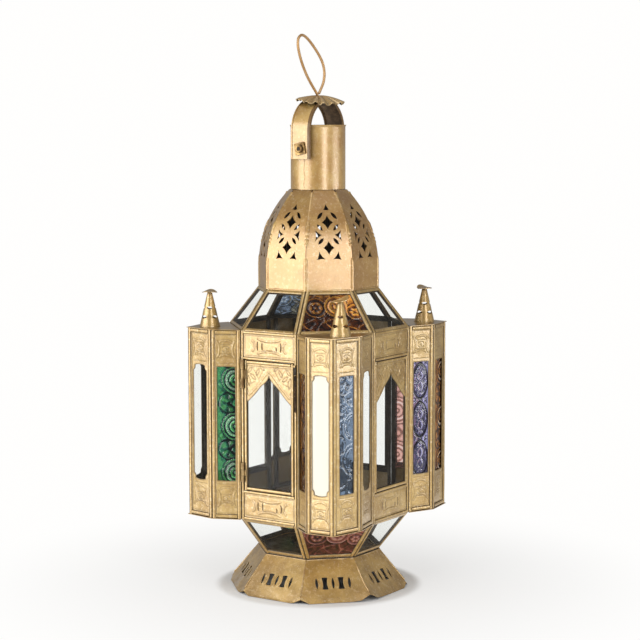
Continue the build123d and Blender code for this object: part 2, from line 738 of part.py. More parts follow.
with BuildPart() as dome_gore:
    apothem = dome_chord[0] - DOME_CLEARANCE
    foot = ROOF_TOP + SEAM
    with BuildSketch(Plane.XZ):
        with BuildLine():
            outer = Line((apothem, foot), (apothem, DOME_WALL_TOP))
            outer_bend = JernArc(outer @ 1, (0, 1), DOME_BEND, DOME_SWEEP)
            inner = Line((apothem - SHELL, foot), (apothem - SHELL, DOME_WALL_TOP))
            inner_bend = JernArc(inner @ 1, (0, 1), DOME_BEND - SHELL, DOME_SWEEP)
            Line(outer @ 0, inner @ 0)
            Line(outer_bend @ 1, inner_bend @ 1)
        make_face()
    extrude(amount=40, both=True)
    with BuildSketch():
        with BuildLine():
            spread = BODY_RADIUS * tan(radians(OCTAGON_HALF_ANGLE)) - 2 * SEAM
            Polyline((2, 0), (BODY_RADIUS, spread), (BODY_RADIUS, -spread), close=True)
        make_face()
    extrude(amount=DOME_TOP, mode=Mode.INTERSECT)
    with BuildSketch(Plane(origin=(70, 0, FRET_LEVEL), x_dir=(0, 1, 0), z_dir=(1, 0, 0))):
        for x, y in FRET_DIAMONDS:
            wide, tall = DIAMOND_HALF
            diamond = [(x, y - tall), (x + wide, y), (x, y + tall), (x - wide, y)]
            make_face(bowed_outline(diamond, [-0.8] * 4))
        for x, y, length, width, slant in FRET_LEAVES:
            for side in (-1, 1):
                make_face(lens((side * x, y), length, width, side * slant))
        for corners in (FRET_CHEEK, FRET_TOE):
            make_face(bowed_outline(list(corners), [FRET_BOW] * 3))
            make_face(bowed_outline([(-x, y) for x, y in reversed(corners)], [FRET_BOW] * 3))
        make_face(bowed_outline(list(FRET_PEAK), [0.5, -0.3, -0.3]))
    extrude(amount=-50, mode=Mode.SUBTRACT)

with BuildPart() as dome_gores:
    with PolarLocations(0, 8):
        add(dome_gore.part)
finish("dome_gores", dome_gores)

# ---------------------------------------------------------------- neck, bail and loop

NECK_BOTTOM = DOME_TOP + 0.4
RIM_HEIGHT = 2.0
with BuildPart() as neck_tube:
    with BuildSketch(Plane.XZ):
        with BuildLine():
            Polyline(
                (NECK_RADIUS, NECK_BOTTOM),
                (NECK_RADIUS, NECK_TOP - RIM_HEIGHT),
                (RIM_RADIUS, NECK_TOP),
                (RIM_RADIUS - SHELL, NECK_TOP),
                (NECK_RADIUS - SHELL, NECK_TOP - RIM_HEIGHT),
                (NECK_RADIUS - SHELL, NECK_BOTTOM),
                close=True,
            )
        make_face()
    revolve(axis=Axis.Z)
    with BuildSketch(Plane.XZ):
        with Locations((0, BAIL_PIVOT)):
            Circle(SCREW_RADIUS + PIN_CLEARANCE)
    extrude(amount=40, both=True, mode=Mode.SUBTRACT)
finish("neck_tube", neck_tube)

ARCH_LEVEL = BAIL_TOP - STRAP_OUTER


def strap_band(outer, inner, start, width):
    """Arch with straight legs, extruded along X from start."""
    with BuildPart() as arch:
        with BuildSketch(Plane.YZ.offset(start)):
            with Locations((0, ARCH_LEVEL)):
                Circle(outer)
            with Locations((0, (ARCH_LEVEL + STRAP_END) / 2)):
                Rectangle(2 * outer, ARCH_LEVEL - STRAP_END)
            with Locations((0, ARCH_LEVEL)):
                Circle(inner, mode=Mode.SUBTRACT)
            with Locations((0, (ARCH_LEVEL + STRAP_END) / 2 - inner)):
                Rectangle(2 * inner, ARCH_LEVEL - STRAP_END + 2 * inner, mode=Mode.SUBTRACT)
            with Locations((0, STRAP_END - outer)):
                Rectangle(2 * outer, 2 * outer, mode=Mode.SUBTRACT)
        extrude(amount=width)
    return arch.part


HEM = 1.2
strap_bands = [
    strap_band(STRAP_OUTER, STRAP_INNER, -STRAP_HALF, 2 * STRAP_HALF),
    strap_band(STRAP_OUTER + 0.5, FLANGE_INNER, -STRAP_HALF, HEM),
    strap_band(STRAP_OUTER + 0.5, FLANGE_INNER, STRAP_HALF - HEM, HEM),
]
WIRE_HOLE = 2.0
with BuildPart() as bail_strap:
    for piece in strap_bands:
        add(piece)
    with BuildSketch(Plane.XZ):
        with Locations((0, BAIL_PIVOT)):
            Circle(SCREW_RADIUS + PIN_CLEARANCE)
    extrude(amount=40, both=True, mode=Mode.SUBTRACT)
    with BuildSketch(Plane.XY.offset(BAIL_TOP - 5)):
        Circle(WIRE_HOLE)
    extrude(amount=10, mode=Mode.SUBTRACT)
finish("bail_strap", bail_strap)

WASHER_FACE = STRAP_OUTER + 0.3
WASHER = 1.3
NUT = 2.2


def on_both_legs(make):
    """The same piece on the door's side and on the back."""
    return [make(upright_plane(azimuth, 0, BAIL_PIVOT)) for azimuth in (0, 180)]


SCREW_HEAD = 1.8
SCREW_FOOT = NECK_RADIUS - SHELL - 0.5 - SCREW_HEAD
SCREW_TIP = WASHER_FACE + WASHER + NUT - 0.6


def pivot_screw(plane):
    """Slotted screw, its head against the inside of the neck."""
    with BuildPart() as screw:
        with BuildSketch(plane.offset(SCREW_FOOT)):
            Circle(3.8)
        extrude(amount=SCREW_HEAD)
        with BuildSketch(plane.offset(SCREW_FOOT)):
            Rectangle(5.4, 0.9)
        extrude(amount=0.8, mode=Mode.SUBTRACT)
        with BuildSketch(plane.offset(SCREW_FOOT + SCREW_HEAD)):
            Circle(SCREW_RADIUS)
        extrude(amount=SCREW_TIP - SCREW_FOOT - SCREW_HEAD)
    return screw.part


def square_washer(plane):
    with BuildPart() as washer:
        with BuildSketch(plane.offset(WASHER_FACE)):
            RectangleRounded(11.5, 11.5, 1.0, rotation=12)
            Circle(SCREW_RADIUS + PIN_CLEARANCE, mode=Mode.SUBTRACT)
        extrude(amount=WASHER)
    return washer.part


def ring_nut(plane):
    with BuildPart() as nut:
        with BuildSketch(plane.offset(WASHER_FACE + WASHER + SEAM)):
            Circle(4.1)
            Circle(SCREW_RADIUS + PIN_CLEARANCE, mode=Mode.SUBTRACT)
        extrude(amount=NUT)
        fillet(nut.edges().filter_by(GeomType.CIRCLE).group_by(SortBy.RADIUS)[-1], 0.7)
    return nut.part


finish_group("pivot_screws", on_both_legs(pivot_screw))
finish_group("square_washers", on_both_legs(square_washer))
finish_group("ring_nuts", on_both_legs(ring_nut))

CAP_TILT = 4.0
CAP_DROOP = 5.0
CAP_FLUTES = 18
CAP_BORE = 2.4
CAP_MIDDLE = CAP_RADIUS * 0.55
CAP_MIDDLE_DROOP = CAP_DROOP * 0.26
cap_axis = Plane(origin=(0, 0, CAP_LEVEL), x_dir=(1, 0, 0), z_dir=Vector(0, 0, 1).rotate(Axis.Y, CAP_TILT))
cap_section = Plane(origin=cap_axis.origin, x_dir=cap_axis.x_dir, z_dir=-cap_axis.y_dir)
with BuildPart() as cap_rosette:
    with BuildSketch(cap_section):
        with BuildLine():
            under = ThreePointArc(
                (CAP_BORE, 0),
                (CAP_MIDDLE, -CAP_MIDDLE_DROOP),
                (CAP_RADIUS, -CAP_DROOP),
            )
            over = ThreePointArc(
                (CAP_BORE, SHELL),
                (CAP_MIDDLE, SHELL - CAP_MIDDLE_DROOP),
                (CAP_RADIUS, SHELL - CAP_DROOP),
            )
            Line(under @ 0, over @ 0)
            Line(under @ 1, over @ 1)
        make_face()
    revolve(axis=Axis(cap_axis.origin, cap_axis.z_dir))
    with BuildSketch(cap_axis.offset(-CAP_DROOP - 3)):
        with PolarLocations(CAP_RADIUS + 0.9, CAP_FLUTES):
            Circle(1.9)
    extrude(amount=12, mode=Mode.SUBTRACT)
    with BuildSketch(Plane.XY.offset(BAIL_TOP + SEAM)):
        Circle(5)
        Circle(2.6, mode=Mode.SUBTRACT)
    extrude(amount=CAP_LEVEL - BAIL_TOP + 0.4)
finish("cap_rosette", cap_rosette)

HOOK_LEVEL = BAIL_TOP - 3.9
HOOK_BEND = 3.0
LOOP_FOOT = 493.0
HOOK_END = 7.0

# The wire's way round the loop as (y, z), up its leaning side, over the top and down the other side
LOOP_POINTS = (
    (-9.0, 502.3),
    (-17.8, 511.6),
    (-25.6, 521.6),
    (-31.4, 531.2),
    (-35.0, 541.0),
    (-34.2, 548.2),
    (-28.6, 551.6),
    (-21.8, 550.6),
    (-13.6, 546.2),
    (-5.0, 539.4),
    (3.0, 531.6),
    (8.6, 523.6),
    (10.8, 514.6),
    (9.0, 506.2),
    (4.8, 499.6),
    (0.6, 494.5),
)
with BuildPart() as hanging_loop:
    with BuildLine(Plane.YZ) as route:
        hook = Line((HOOK_END, HOOK_LEVEL), (HOOK_BEND, HOOK_LEVEL))
        bend = JernArc(hook @ 1, (-1, 0), HOOK_BEND, -90)
        stem = Line(bend @ 1, (0, LOOP_FOOT))
        shoulder = JernArc(stem @ 1, (0, 1), HOOK_BEND, 48)
        Spline(shoulder @ 1, *LOOP_POINTS, tangents=(shoulder % 1, (0.35, -1)))
    with BuildSketch(Plane(origin=(0, HOOK_END, HOOK_LEVEL), z_dir=(0, -1, 0))):
        Circle(WIRE_RADIUS)
    sweep(path=route.wire())
finish("hanging_loop", hanging_loop)
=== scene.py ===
"""Moroccan metal lantern: its looks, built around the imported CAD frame.

The dome, neck, strap, covers, cones and fittings keep their CAD shape and get painted-metal materials. The
stamped sheets, the came strips, the coloured and window glass, the fluted cap, the wire loop, the finials'
discs and the foot are made again here as detailed meshes that stand for their CAD nodes; seams and solder are
added. Lengths are metres, and the relief functions work in millimetres on each sheet's own face.
"""

import math

import bmesh
import bpy
import numpy as np
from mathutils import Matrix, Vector, geometry, noise


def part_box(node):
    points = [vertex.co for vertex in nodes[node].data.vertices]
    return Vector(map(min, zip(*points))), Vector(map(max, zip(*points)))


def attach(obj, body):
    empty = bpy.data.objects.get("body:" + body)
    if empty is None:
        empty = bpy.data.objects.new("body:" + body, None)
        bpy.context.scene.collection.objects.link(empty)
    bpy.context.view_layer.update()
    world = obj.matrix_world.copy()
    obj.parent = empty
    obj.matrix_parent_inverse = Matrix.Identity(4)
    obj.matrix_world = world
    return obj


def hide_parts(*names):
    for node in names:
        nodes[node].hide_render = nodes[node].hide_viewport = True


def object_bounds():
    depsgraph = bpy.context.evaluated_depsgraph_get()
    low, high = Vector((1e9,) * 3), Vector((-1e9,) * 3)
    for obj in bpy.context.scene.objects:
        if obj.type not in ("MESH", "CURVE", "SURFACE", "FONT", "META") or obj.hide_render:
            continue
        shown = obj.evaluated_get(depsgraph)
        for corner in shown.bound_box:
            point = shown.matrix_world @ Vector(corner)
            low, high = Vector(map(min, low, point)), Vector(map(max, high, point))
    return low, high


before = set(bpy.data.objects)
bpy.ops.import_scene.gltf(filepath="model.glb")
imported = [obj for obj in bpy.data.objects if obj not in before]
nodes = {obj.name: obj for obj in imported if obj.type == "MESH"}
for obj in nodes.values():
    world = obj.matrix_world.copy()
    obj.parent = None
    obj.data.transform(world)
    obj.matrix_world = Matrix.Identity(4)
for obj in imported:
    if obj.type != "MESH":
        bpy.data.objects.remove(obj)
cad_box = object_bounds()

MM = 0.001
TOP = cad_box[1].z
WHITE = (1.0, 0.995, 0.985, 1)
FLOOR_LEVEL = -0.0002
JOINED = 1e-6  # corners of a CAD mesh nearer than this are one
CORNER = 22.5  # azimuth of the first corner of the octagon; the others follow each 45 degrees
BAY_AZIMUTHS = {"front_right": 45, "back_right": 135, "back_left": 225, "front_left": 315}
BAY_CORE = 0.085  # how far a bay's inner core stands from the lantern's axis


# ---- camera and studio

CAMERA_AZIMUTH = 33.98
CAMERA_REACH = 1.909
CAMERA_LEVEL = 0.4753
CAMERA_PITCH = 6.17
CAMERA_YAW = 0.06
CAMERA_ROLL = 0.08
CAMERA_LENS = 107.39


def outward(azimuth):
    """Level direction away from the axis; azimuth 0 is the door's side and 90 the right side."""
    angle = math.radians(azimuth)
    return Vector((math.sin(angle), -math.cos(angle), 0))


def up(level):
    return Vector((0, 0, level))


def at(azimuth, reach, level):
    """Place at a distance from the lantern's axis and a level above the floor."""
    return outward(azimuth) * reach + up(level)


def uneven(*spot):
    """Smooth unevenness of hand work, from -1 to 1, that changes from spot to spot."""
    return noise.noise(Vector(spot))


def make_camera():
    data = bpy.data.cameras.new("camera")
    data.lens = CAMERA_LENS
    data.sensor_width = 36
    data.clip_start = 0.05
    camera = bpy.data.objects.new("camera", data)
    camera.location = at(CAMERA_AZIMUTH, CAMERA_REACH, CAMERA_LEVEL)
    camera.rotation_euler = (
        math.radians(90 - CAMERA_PITCH),
        math.radians(CAMERA_ROLL),
        math.radians(CAMERA_AZIMUTH - CAMERA_YAW),
    )
    bpy.context.scene.collection.objects.link(camera)
    bpy.context.scene.camera = camera


def add_floor(name, inner, outer):
    """Level ring of floor: matt and pale near the lantern, fading to plain white before its outer edge."""
    turns = 96
    places = [outward(360 * k / turns) * reach for k in range(turns) for reach in (inner, outer)]
    ends = [(2 * k, 2 * ((k + 1) % turns)) for k in range(turns)]
    mesh = bpy.data.meshes.new(name)
    mesh.from_pydata(places, [], [(a, a + 1, b + 1, b) for a, b in ends])
    floor = bpy.data.objects.new(name, mesh)
    floor.location.z = FLOOR_LEVEL
    bpy.context.scene.collection.objects.link(floor)
    paint = Graph(name + "_paint")
    apart = paint.node("VectorMath", {0: paint.place.outputs["Object"]}, operation="LENGTH").outputs["Value"]
    matt = paint.shader({"Base Color": (0.88, 0.88, 0.875, 1), "Roughness": 0.9})
    white = paint.node("Emission", {"Color": WHITE, "Strength": 1.0}).outputs[0]
    fade = paint.span(apart, 0.096, 0.108, 0.0, 0.6)
    fade = paint.maths("ADD", fade, paint.span(apart, 0.1, 0.4, 0.0, 0.4))
    mesh.materials.append(paint.finish(paint.blend(fade, matt, white)))
    return floor


SKY_LIGHT = 0.43  # strength of the white surroundings as a light; seen directly or through glass it is 1
SKY_MIRRORED = -0.14  # what is added to it in reflections
LIGHTS = (  # name, azimuth, level, reach, width, height, power
    ("key", -27, 0.45, 1.7, 1.75, 1.5, 27.5),
    ("side", 62, 0.45, 1.7, 0.42, 1.6, 12.5),
    ("flank", 113, 0.2, 1.7, 0.85, 0.42, 5.8),
    ("top", 20, 2.1, 0.9, 1.2, 1.2, 8.0),
)


def make_studio():
    """White room: pale floor, even white surroundings and soft rectangular lights."""
    scene = bpy.context.scene
    scene.view_settings.view_transform = "Standard"
    scene.view_settings.look = "None"
    sky = Graph("studio", bpy.data.worlds.new("studio"))
    ray = sky.node("LightPath").outputs
    seen = sky.maths("MAXIMUM", ray["Is Camera Ray"], ray["Is Transmission Ray"])
    strength = sky.maths("MULTIPLY_ADD", seen, 1.0 - SKY_LIGHT, SKY_LIGHT)
    strength = sky.maths("MULTIPLY_ADD", ray["Is Glossy Ray"], SKY_MIRRORED, strength)
    background = sky.node("Background", {"Color": WHITE, "Strength": strength}).outputs[0]
    scene.world = sky.finish(background, "OutputWorld")

    add_floor("floor", 0.0, 0.5)
    backdrop = add_floor("far_floor", 0.5, 9.0)
    backdrop.visible_diffuse = backdrop.visible_glossy = backdrop.visible_shadow = False

    for name, azimuth, level, reach, width, height, power in LIGHTS:
        data = bpy.data.lights.new(name, "AREA")
        data.shape = "RECTANGLE"
        data.size, data.size_y, data.energy = width, height, power
        light = bpy.data.objects.new(name, data)
        light.location = at(azimuth, reach, level)
        aim = up(TOP / 2) - light.location
        light.rotation_euler = aim.to_track_quat("-Z", "Y").to_euler()
        light.visible_camera = False
        scene.collection.objects.link(light)


# ---- materials


class Graph:
    """Node tree of a new material, or of the owner given, with short ways to add nodes and join them."""

    def __init__(self, name, owner=None):
        self.owner = owner or bpy.data.materials.new(name)
        self.owner.use_nodes = True
        self.tree = self.owner.node_tree
        self.tree.nodes.clear()
        self.place = self.node("TexCoord")

    def node(self, kind, values=None, **settings):
        made = self.tree.nodes.new("ShaderNode" + kind)
        for key, value in settings.items():
            setattr(made, key, value)
        for socket, value in (values or {}).items():
            if isinstance(value, bpy.types.NodeSocket):
                self.tree.links.new(value, made.inputs[socket])
            else:
                made.inputs[socket].default_value = value
        return made

    def noise(self, scale, detail, rough=0.55):
        where = self.place.outputs["Object"]
        values = {"Vector": where, "Scale": scale, "Detail": detail, "Roughness": rough}
        return self.node("TexNoise", values).outputs["Fac"]

    def span(self, value, low, high, out_low=0.0, out_high=1.0):
        """value between low and high, as a number between out_low and out_high with soft ends."""
        values = {"Value": value, "From Min": low, "From Max": high, "To Min": out_low, "To Max": out_high}
        return self.node("MapRange", values, interpolation_type="SMOOTHSTEP").outputs["Result"]

    def maths(self, operation, a, b=0.0, c=0.0):
        return self.node("Math", {0: a, 1: b, 2: c}, operation=operation).outputs[0]

    def less(self, value, other, share=1.0):
        """value made smaller, where other is 1, by a share of itself."""
        left = self.maths("SUBTRACT", 1.0, self.maths("MULTIPLY", other, share))
        return self.maths("MULTIPLY", value, left)

    def attribute(self, name):
        return self.node("Attribute", attribute_name=name).outputs["Fac"]

    def hollow(self, distance):
        """1 in the open, lower in corners narrower than about distance."""
        return self.node("AmbientOcclusion", {"Distance": distance}, samples=5).outputs["AO"]

    def mix(self, factor, a, b):
        def colour(value):
            return value if isinstance(value, bpy.types.NodeSocket) else (*value, 1)

        return self.node("Mix", {0: factor, 6: colour(a), 7: colour(b)}, data_type="RGBA").outputs[2]

    def blend(self, factor, a, b):
        return self.node("MixShader", {0: factor, 1: a, 2: b}).outputs[0]

    def shader(self, values):
        return self.node("BsdfPrincipled", values).outputs[0]

    def finish(self, shader, output="OutputMaterial"):
        self.node(output, {"Surface": shader})
        return self.owner


def facing(graph, core):
    """1 where a surface looks at core, the middle of what it encloses, and 0 where it looks away."""
    place = graph.place
    away = graph.node("VectorMath", {0: place.outputs["Object"], 1: core}, operation="SUBTRACT").outputs[0]
    away = graph.node("VectorMath", {0: away}, operation="NORMALIZE").outputs[0]
    side = graph.node("VectorMath", {0: away, 1: place.outputs["Normal"]}, operation="DOT_PRODUCT")
    return graph.span(side.outputs["Value"], -0.25, -0.45)


# colour of grime and of painted shade
GRIME_AND_SHADE = (0.028, 0.016, 0.007)
DARK_TIN = (0.016, 0.012, 0.008)
CREAM = (0.86, 0.70, 0.42)
RUST = (0.30, 0.125, 0.022)
SPECK = (0.16, 0.085, 0.025)
# colour of the painted shade on the strap's folded edge
HEM_SHADE_BROWN = (0.15, 0.075, 0.018)
HEM_SHADE_EDGE = 0.0003  # how far the hem's painted shade takes to begin


def aged_gold(
    name, base, deep, core=None, wear=0.5, grain=1.0, groove=False, tin=DARK_TIN, metal=0.72, hem=0.0
):
    """Gold paint on tin: clouded, stippled, rubbed pale here and there, and darkened with painted shade in
    its seams, corners and gaps, under a clear coat that mirrors white where the paint is clean and not
    painted dark.

    With a core, faces that look inwards are bare dark tin. With groove, the mesh's own "groove" values
    darken it, most of them as painted shade: in and beside the lines of its stamping, down the flanks of came
    strips, in the cap's pleats and under it. Hem is the X beyond which a folded edge is painted dark as
    shade."""
    graph = Graph(name)
    clouds = graph.noise(26.0, 6.0, 0.72)
    blots = graph.noise(330.0, 5.0, 0.75)
    stipple = graph.noise(760.0, 2.0, 0.6)
    colour = graph.mix(graph.span(clouds, 0.36, 0.64), deep, base)
    colour = graph.mix(graph.span(blots, 0.5, 0.72, 0.0, wear), colour, CREAM)
    rust = graph.span(graph.noise(60.0, 7.0, 0.75), 0.56, 0.72)
    colour = graph.mix(graph.maths("MULTIPLY", rust, 0.55), colour, RUST)
    colour = graph.mix(graph.maths("MULTIPLY", graph.span(stipple, 0.62, 0.76), 0.6), colour, SPECK)
    # painted shade: ambient occlusion darkens corners, seams and gaps narrower than about 5.5 mm
    shade_and_dirt = graph.span(graph.hollow(0.0055), 0.74, 0.34, 0.0, 0.96)
    # painted shade from the mesh's groove values
    if groove:
        shade_and_dirt = graph.maths("MAXIMUM", shade_and_dirt, graph.attribute("groove"))
    # painted shade: beyond hem on the +X side, the folded edge that faces away from the key light is darkened
    if hem:
        across = graph.node("SeparateXYZ", {0: graph.place.outputs["Object"]}).outputs["X"]
        fold = graph.span(across, hem - HEM_SHADE_EDGE, hem)
        fold = graph.maths("MULTIPLY", fold, graph.span(blots, 0.3, 0.6, 0.6, 1.0))
        shade_and_dirt = graph.maths("MAXIMUM", shade_and_dirt, graph.maths("MULTIPLY", fold, 0.85))
    colour = graph.mix(shade_and_dirt, colour, GRIME_AND_SHADE)
    if hem:
        colour = graph.mix(fold, colour, HEM_SHADE_BROWN)
    rough = graph.span(clouds, 0.3, 0.7, 0.34, 0.5)
    rough = graph.maths("MULTIPLY_ADD", shade_and_dirt, 0.3, rough)
    metal = graph.less(metal, shade_and_dirt, 0.83)
    coat = graph.less(1.0, shade_and_dirt)
    if core:
        bare = facing(graph, core)
        shade = graph.span(graph.noise(120.0, 5.0, 0.7), 0.35, 0.75)
        colour = graph.mix(bare, colour, graph.mix(shade, tin, tuple(3.0 * c for c in tin)))
        rough = graph.maths("MULTIPLY_ADD", bare, 0.2, rough)
        metal = graph.less(metal, bare, 0.7)
        coat = graph.less(coat, bare)
    height = graph.maths("ADD", graph.maths("MULTIPLY", blots, 0.5), graph.maths("MULTIPLY", stipple, 0.35))
    bump = graph.node("Bump", {"Strength": 0.5, "Distance": 0.00035 * grain, "Height": height}).outputs[0]
    return graph.finish(graph.shader({
        "Base Color": colour, "Roughness": rough, "Metallic": metal, "Normal": bump,
        "Coat Weight": coat, "Coat Roughness": 0.24, "Coat IOR": 1.75, "Coat Normal": bump,
    }))


def clear_glass():
    """Old window glass: see-through, a little grey, with dust and faint smears; opal with a painted glow
    where relief is 1.
    """
    graph = Graph("clear_glass")
    through = graph.node("BsdfTransparent", {"Color": (0.975, 0.98, 0.972, 1)}).outputs[0]
    shine = graph.node("BsdfGlossy", {"Color": (1, 1, 1, 1), "Roughness": 0.04}).outputs[0]
    edge = graph.maths("MULTIPLY", graph.node("Fresnel", {"IOR": 1.45}).outputs[0], 0.3)
    edge = graph.less(edge, graph.node("NewGeometry").outputs["Backfacing"])
    dust = graph.node("BsdfDiffuse", {"Color": (0.62, 0.58, 0.5, 1)}).outputs[0]
    smear = graph.span(graph.noise(70.0, 5.0, 0.7), 0.5, 0.85, 0.004, 0.06)
    dusty = graph.blend(smear, graph.blend(edge, through, shine), dust)
    # painted light: the opal glows through its emission
    opal = graph.shader({
        "Base Color": (0.70, 0.65, 0.53, 1), "Roughness": 0.25,
        "Emission Color": (1.0, 0.94, 0.80, 1), "Emission Strength": 0.1,
    })
    milky = graph.span(graph.attribute("relief"), 0.8, 1.0, 0.0, 0.94)
    return graph.finish(graph.blend(milky, dusty, opal))


def pressed_glass(name, tint, deep, black, pale=(0.96, 0.97, 0.98), body=0.12):
    """Coloured relief glass: black in the deepest lines of its pattern as painted shade, then deep, tinted,
    and pale on top as painted highlight. Body is how much of it is clouded."""
    graph = Graph(name)
    clouds = graph.maths("SUBTRACT", graph.noise(60.0, 3.0, 0.6), 0.5)
    level = graph.maths("MULTIPLY_ADD", clouds, 0.35, graph.attribute("relief"))
    # painted shade: the deepest lines go black
    colour = graph.mix(graph.span(level, 0.02, 0.3), black, deep)
    colour = graph.mix(graph.span(level, 0.3, 0.62), colour, tint)
    # painted highlight: the highest relief goes pale
    colour = graph.mix(graph.span(level, 0.8, 0.97), colour, pale)
    values = {"Base Color": colour, "Roughness": 0.06, "IOR": 1.5, "Transmission Weight": 1.0 - body}
    return graph.finish(graph.shader(values))


def worn_metal(name, base, deep, rough=0.42, pitted=0.6, mottle=120.0):
    """Rubbed metal of wire and fittings, gold worn to brown, grimy in its pits and darkened with painted
    shade in its corners.
    """
    graph = Graph(name)
    clouds = graph.noise(mottle, 4.0, 0.65)
    stipple = graph.noise(900.0, 2.0)
    colour = graph.mix(graph.span(clouds, 0.36, 0.62), deep, base)
    colour = graph.mix(graph.span(stipple, 0.6, 0.8, 0.0, pitted), colour, GRIME_AND_SHADE)
    # painted shade: ambient occlusion darkens corners narrower than about 2 mm
    colour = graph.mix(graph.span(graph.hollow(0.002), 0.6, 0.2, 0.0, 0.9), colour, GRIME_AND_SHADE)
    bump = graph.node("Bump", {"Strength": 0.8 * pitted, "Distance": 0.0002, "Height": stipple})
    rough = graph.span(clouds, 0.3, 0.7, rough + 0.12, rough - 0.08)
    return graph.finish(graph.shader({
        "Base Color": colour, "Roughness": rough, "Metallic": 0.75, "Normal": bump.outputs[0],
    }))


# ---- faces of the CAD sheets


class Sheet:
    """Flat outer face of one CAD solid: its own millimetre axes, outline loops and thickness."""

    def __init__(self, faces, core):
        areas = {}
        for face in faces:
            key = tuple(round(x, 2) for x in face.normal)
            areas.setdefault(key, [0.0, Vector()])
            areas[key][0] += face.calc_area()
            areas[key][1] += face.normal * face.calc_area()
        middle = sum((f.calc_center_median() for f in faces), Vector()) / len(faces)
        away = (middle - core).normalized()
        broad = max(areas.values(), key=lambda pair: pair[0] * (pair[1].normalized().dot(away) > 0))
        self.normal = broad[1].normalized()
        self.up = (up(1) - self.normal * self.normal.z).normalized()
        self.across = self.up.cross(self.normal)
        front = {f for f in faces if f.normal.dot(self.normal) > 0.999}
        level = max(v.co.dot(self.normal) for f in front for v in f.verts)
        front = {f for f in front if abs(f.calc_center_median().dot(self.normal) - level) < 1e-5}
        back = min(v.co.dot(self.normal) for f in faces for v in f.verts)
        corners = np.array([(v.co.dot(self.across), v.co.dot(self.up)) for f in front for v in f.verts])
        self.middle = (corners[:, 0].min() + corners[:, 0].max()) / 2
        self.foot = corners[:, 1].min()
        self.origin = self.across * self.middle + self.up * self.foot + self.normal * level
        self.width = (corners[:, 0].max() - corners[:, 0].min()) / MM
        self.height = (corners[:, 1].max() - self.foot) / MM
        self.depth = (level - back) / MM
        self.loops = [self.flat(loop) for loop in outline_loops(front)]
        self.loops.sort(key=lambda loop: -np.ptp(loop[:, 0]) * np.ptp(loop[:, 1]))

    def flat(self, loop):
        points = np.array([(v.co.dot(self.across), v.co.dot(self.up)) for v in loop])
        return (points - (self.middle, self.foot)) / MM

    def place(self, points, heights):
        """Row-frame positions of points on the face, raised by heights."""
        axes = np.array([self.across, self.up, self.normal])
        local = np.column_stack([points, heights]) * MM
        return np.array(self.origin) + local @ axes


def outline_loops(front):
    """Closed loops of vertices round a set of faces."""
    follows = {}
    for face in front:
        for loop in face.loops:
            if any(f not in front for f in loop.edge.link_faces):
                follows[loop.vert] = loop.link_loop_next.vert
    loops = []
    while follows:
        first, vert = next(iter(follows.items()))
        loop = [first]
        del follows[first]
        while vert is not first:
            loop.append(vert)
            vert = follows.pop(vert)
        loops.append(loop)
    return loops


def bay_core(point):
    """Middle of the bay that a point belongs to."""
    azimuth = math.degrees(math.atan2(point.x, -point.y)) % 360
    return at(90 * (azimuth // 90) + 45, BAY_CORE, point.z)


def axis_core(point):
    return up(point.z)


def solids_of(node):
    """Mesh of a CAD node with its corners joined, and the faces of each of its solids."""
    bm = bmesh.new()
    bm.from_mesh(nodes[node].data)
    bmesh.ops.remove_doubles(bm, verts=bm.verts, dist=JOINED)
    bmesh.ops.recalc_face_normals(bm, faces=bm.faces)
    solids, waiting = [], set(bm.faces)
    while waiting:
        solid = [waiting.pop()]
        for face in solid:
            for edge in face.edges:
                for other in edge.link_faces:
                    if other in waiting:
                        waiting.discard(other)
                        solid.append(other)
        solids.append(solid)
    return bm, solids


def sheets_of(node, core_of):
    """A Sheet for each solid of a CAD node."""
    bm, solids = solids_of(node)
    found = []
    for solid in solids:
        middle = sum((f.calc_center_median() for f in solid), Vector()) / len(solid)
        found.append(Sheet(solid, core_of(middle)))
    bm.free()
    return sorted(found, key=lambda s: (round(s.origin.x, 4), round(s.origin.y, 4), round(s.origin.z, 4)))


def boxes_of(node):
    """Middle and half size of each solid of a CAD node, in order round the lantern."""
    bm, solids = solids_of(node)
    found = []
    for solid in solids:
        corners = np.array([v.co for f in solid for v in f.verts])
        found.append(((corners.min(axis=0) + corners.max(axis=0)) / 2, np.ptp(corners, axis=0) / 2))
    bm.free()
    return sorted(found, key=lambda pair: math.atan2(pair[0][0], -pair[0][1]))


def split_long(loop, step):
    """The loop with points added so that no side is longer than step."""
    made = []
    for a, b in zip(loop, np.roll(loop, -1, axis=0)):
        parts = max(1, math.ceil(np.linalg.norm(b - a) / step))
        made.extend(a + (b - a) * k / parts for k in range(parts))
    return np.array(made)


def inside(points, loops):
    """Whether each point lies inside the outer loop and outside the holes."""
    hits = np.zeros(len(points), int)
    for loop in loops:
        for (ax, ay), (bx, by) in zip(loop, np.roll(loop, -1, axis=0)):
            spans = (ay > points[:, 1]) != (by > points[:, 1])
            if ay != by:
                cross = ax + (points[:, 1] - ay) * (bx - ax) / (by - ay)
                hits += spans & (points[:, 0] < cross)
    return hits % 2 == 1


def distance(points, path):
    """Distance of each point from a line through the path's points."""
    best = np.full(len(points), 1e9)
    path = np.asarray(path, float)
    for a, b in zip(path[:-1], path[1:]):
        along = b - a
        share = np.clip(((points - a) @ along) / max(along @ along, 1e-12), 0, 1)
        best = np.minimum(best, np.hypot(*(points - a - share[:, None] * along).T))
    return best


def closed(loop):
    return np.vstack([loop, loop[:1]])


def loop_edges(loops):
    """Neighbouring points round each loop, as pairs of places in one list of all the loops' points."""
    edges = []
    for loop in loops:
        start, n = len(edges), len(loop)
        edges.extend((start + k, start + (k + 1) % n) for k in range(n))
    return edges


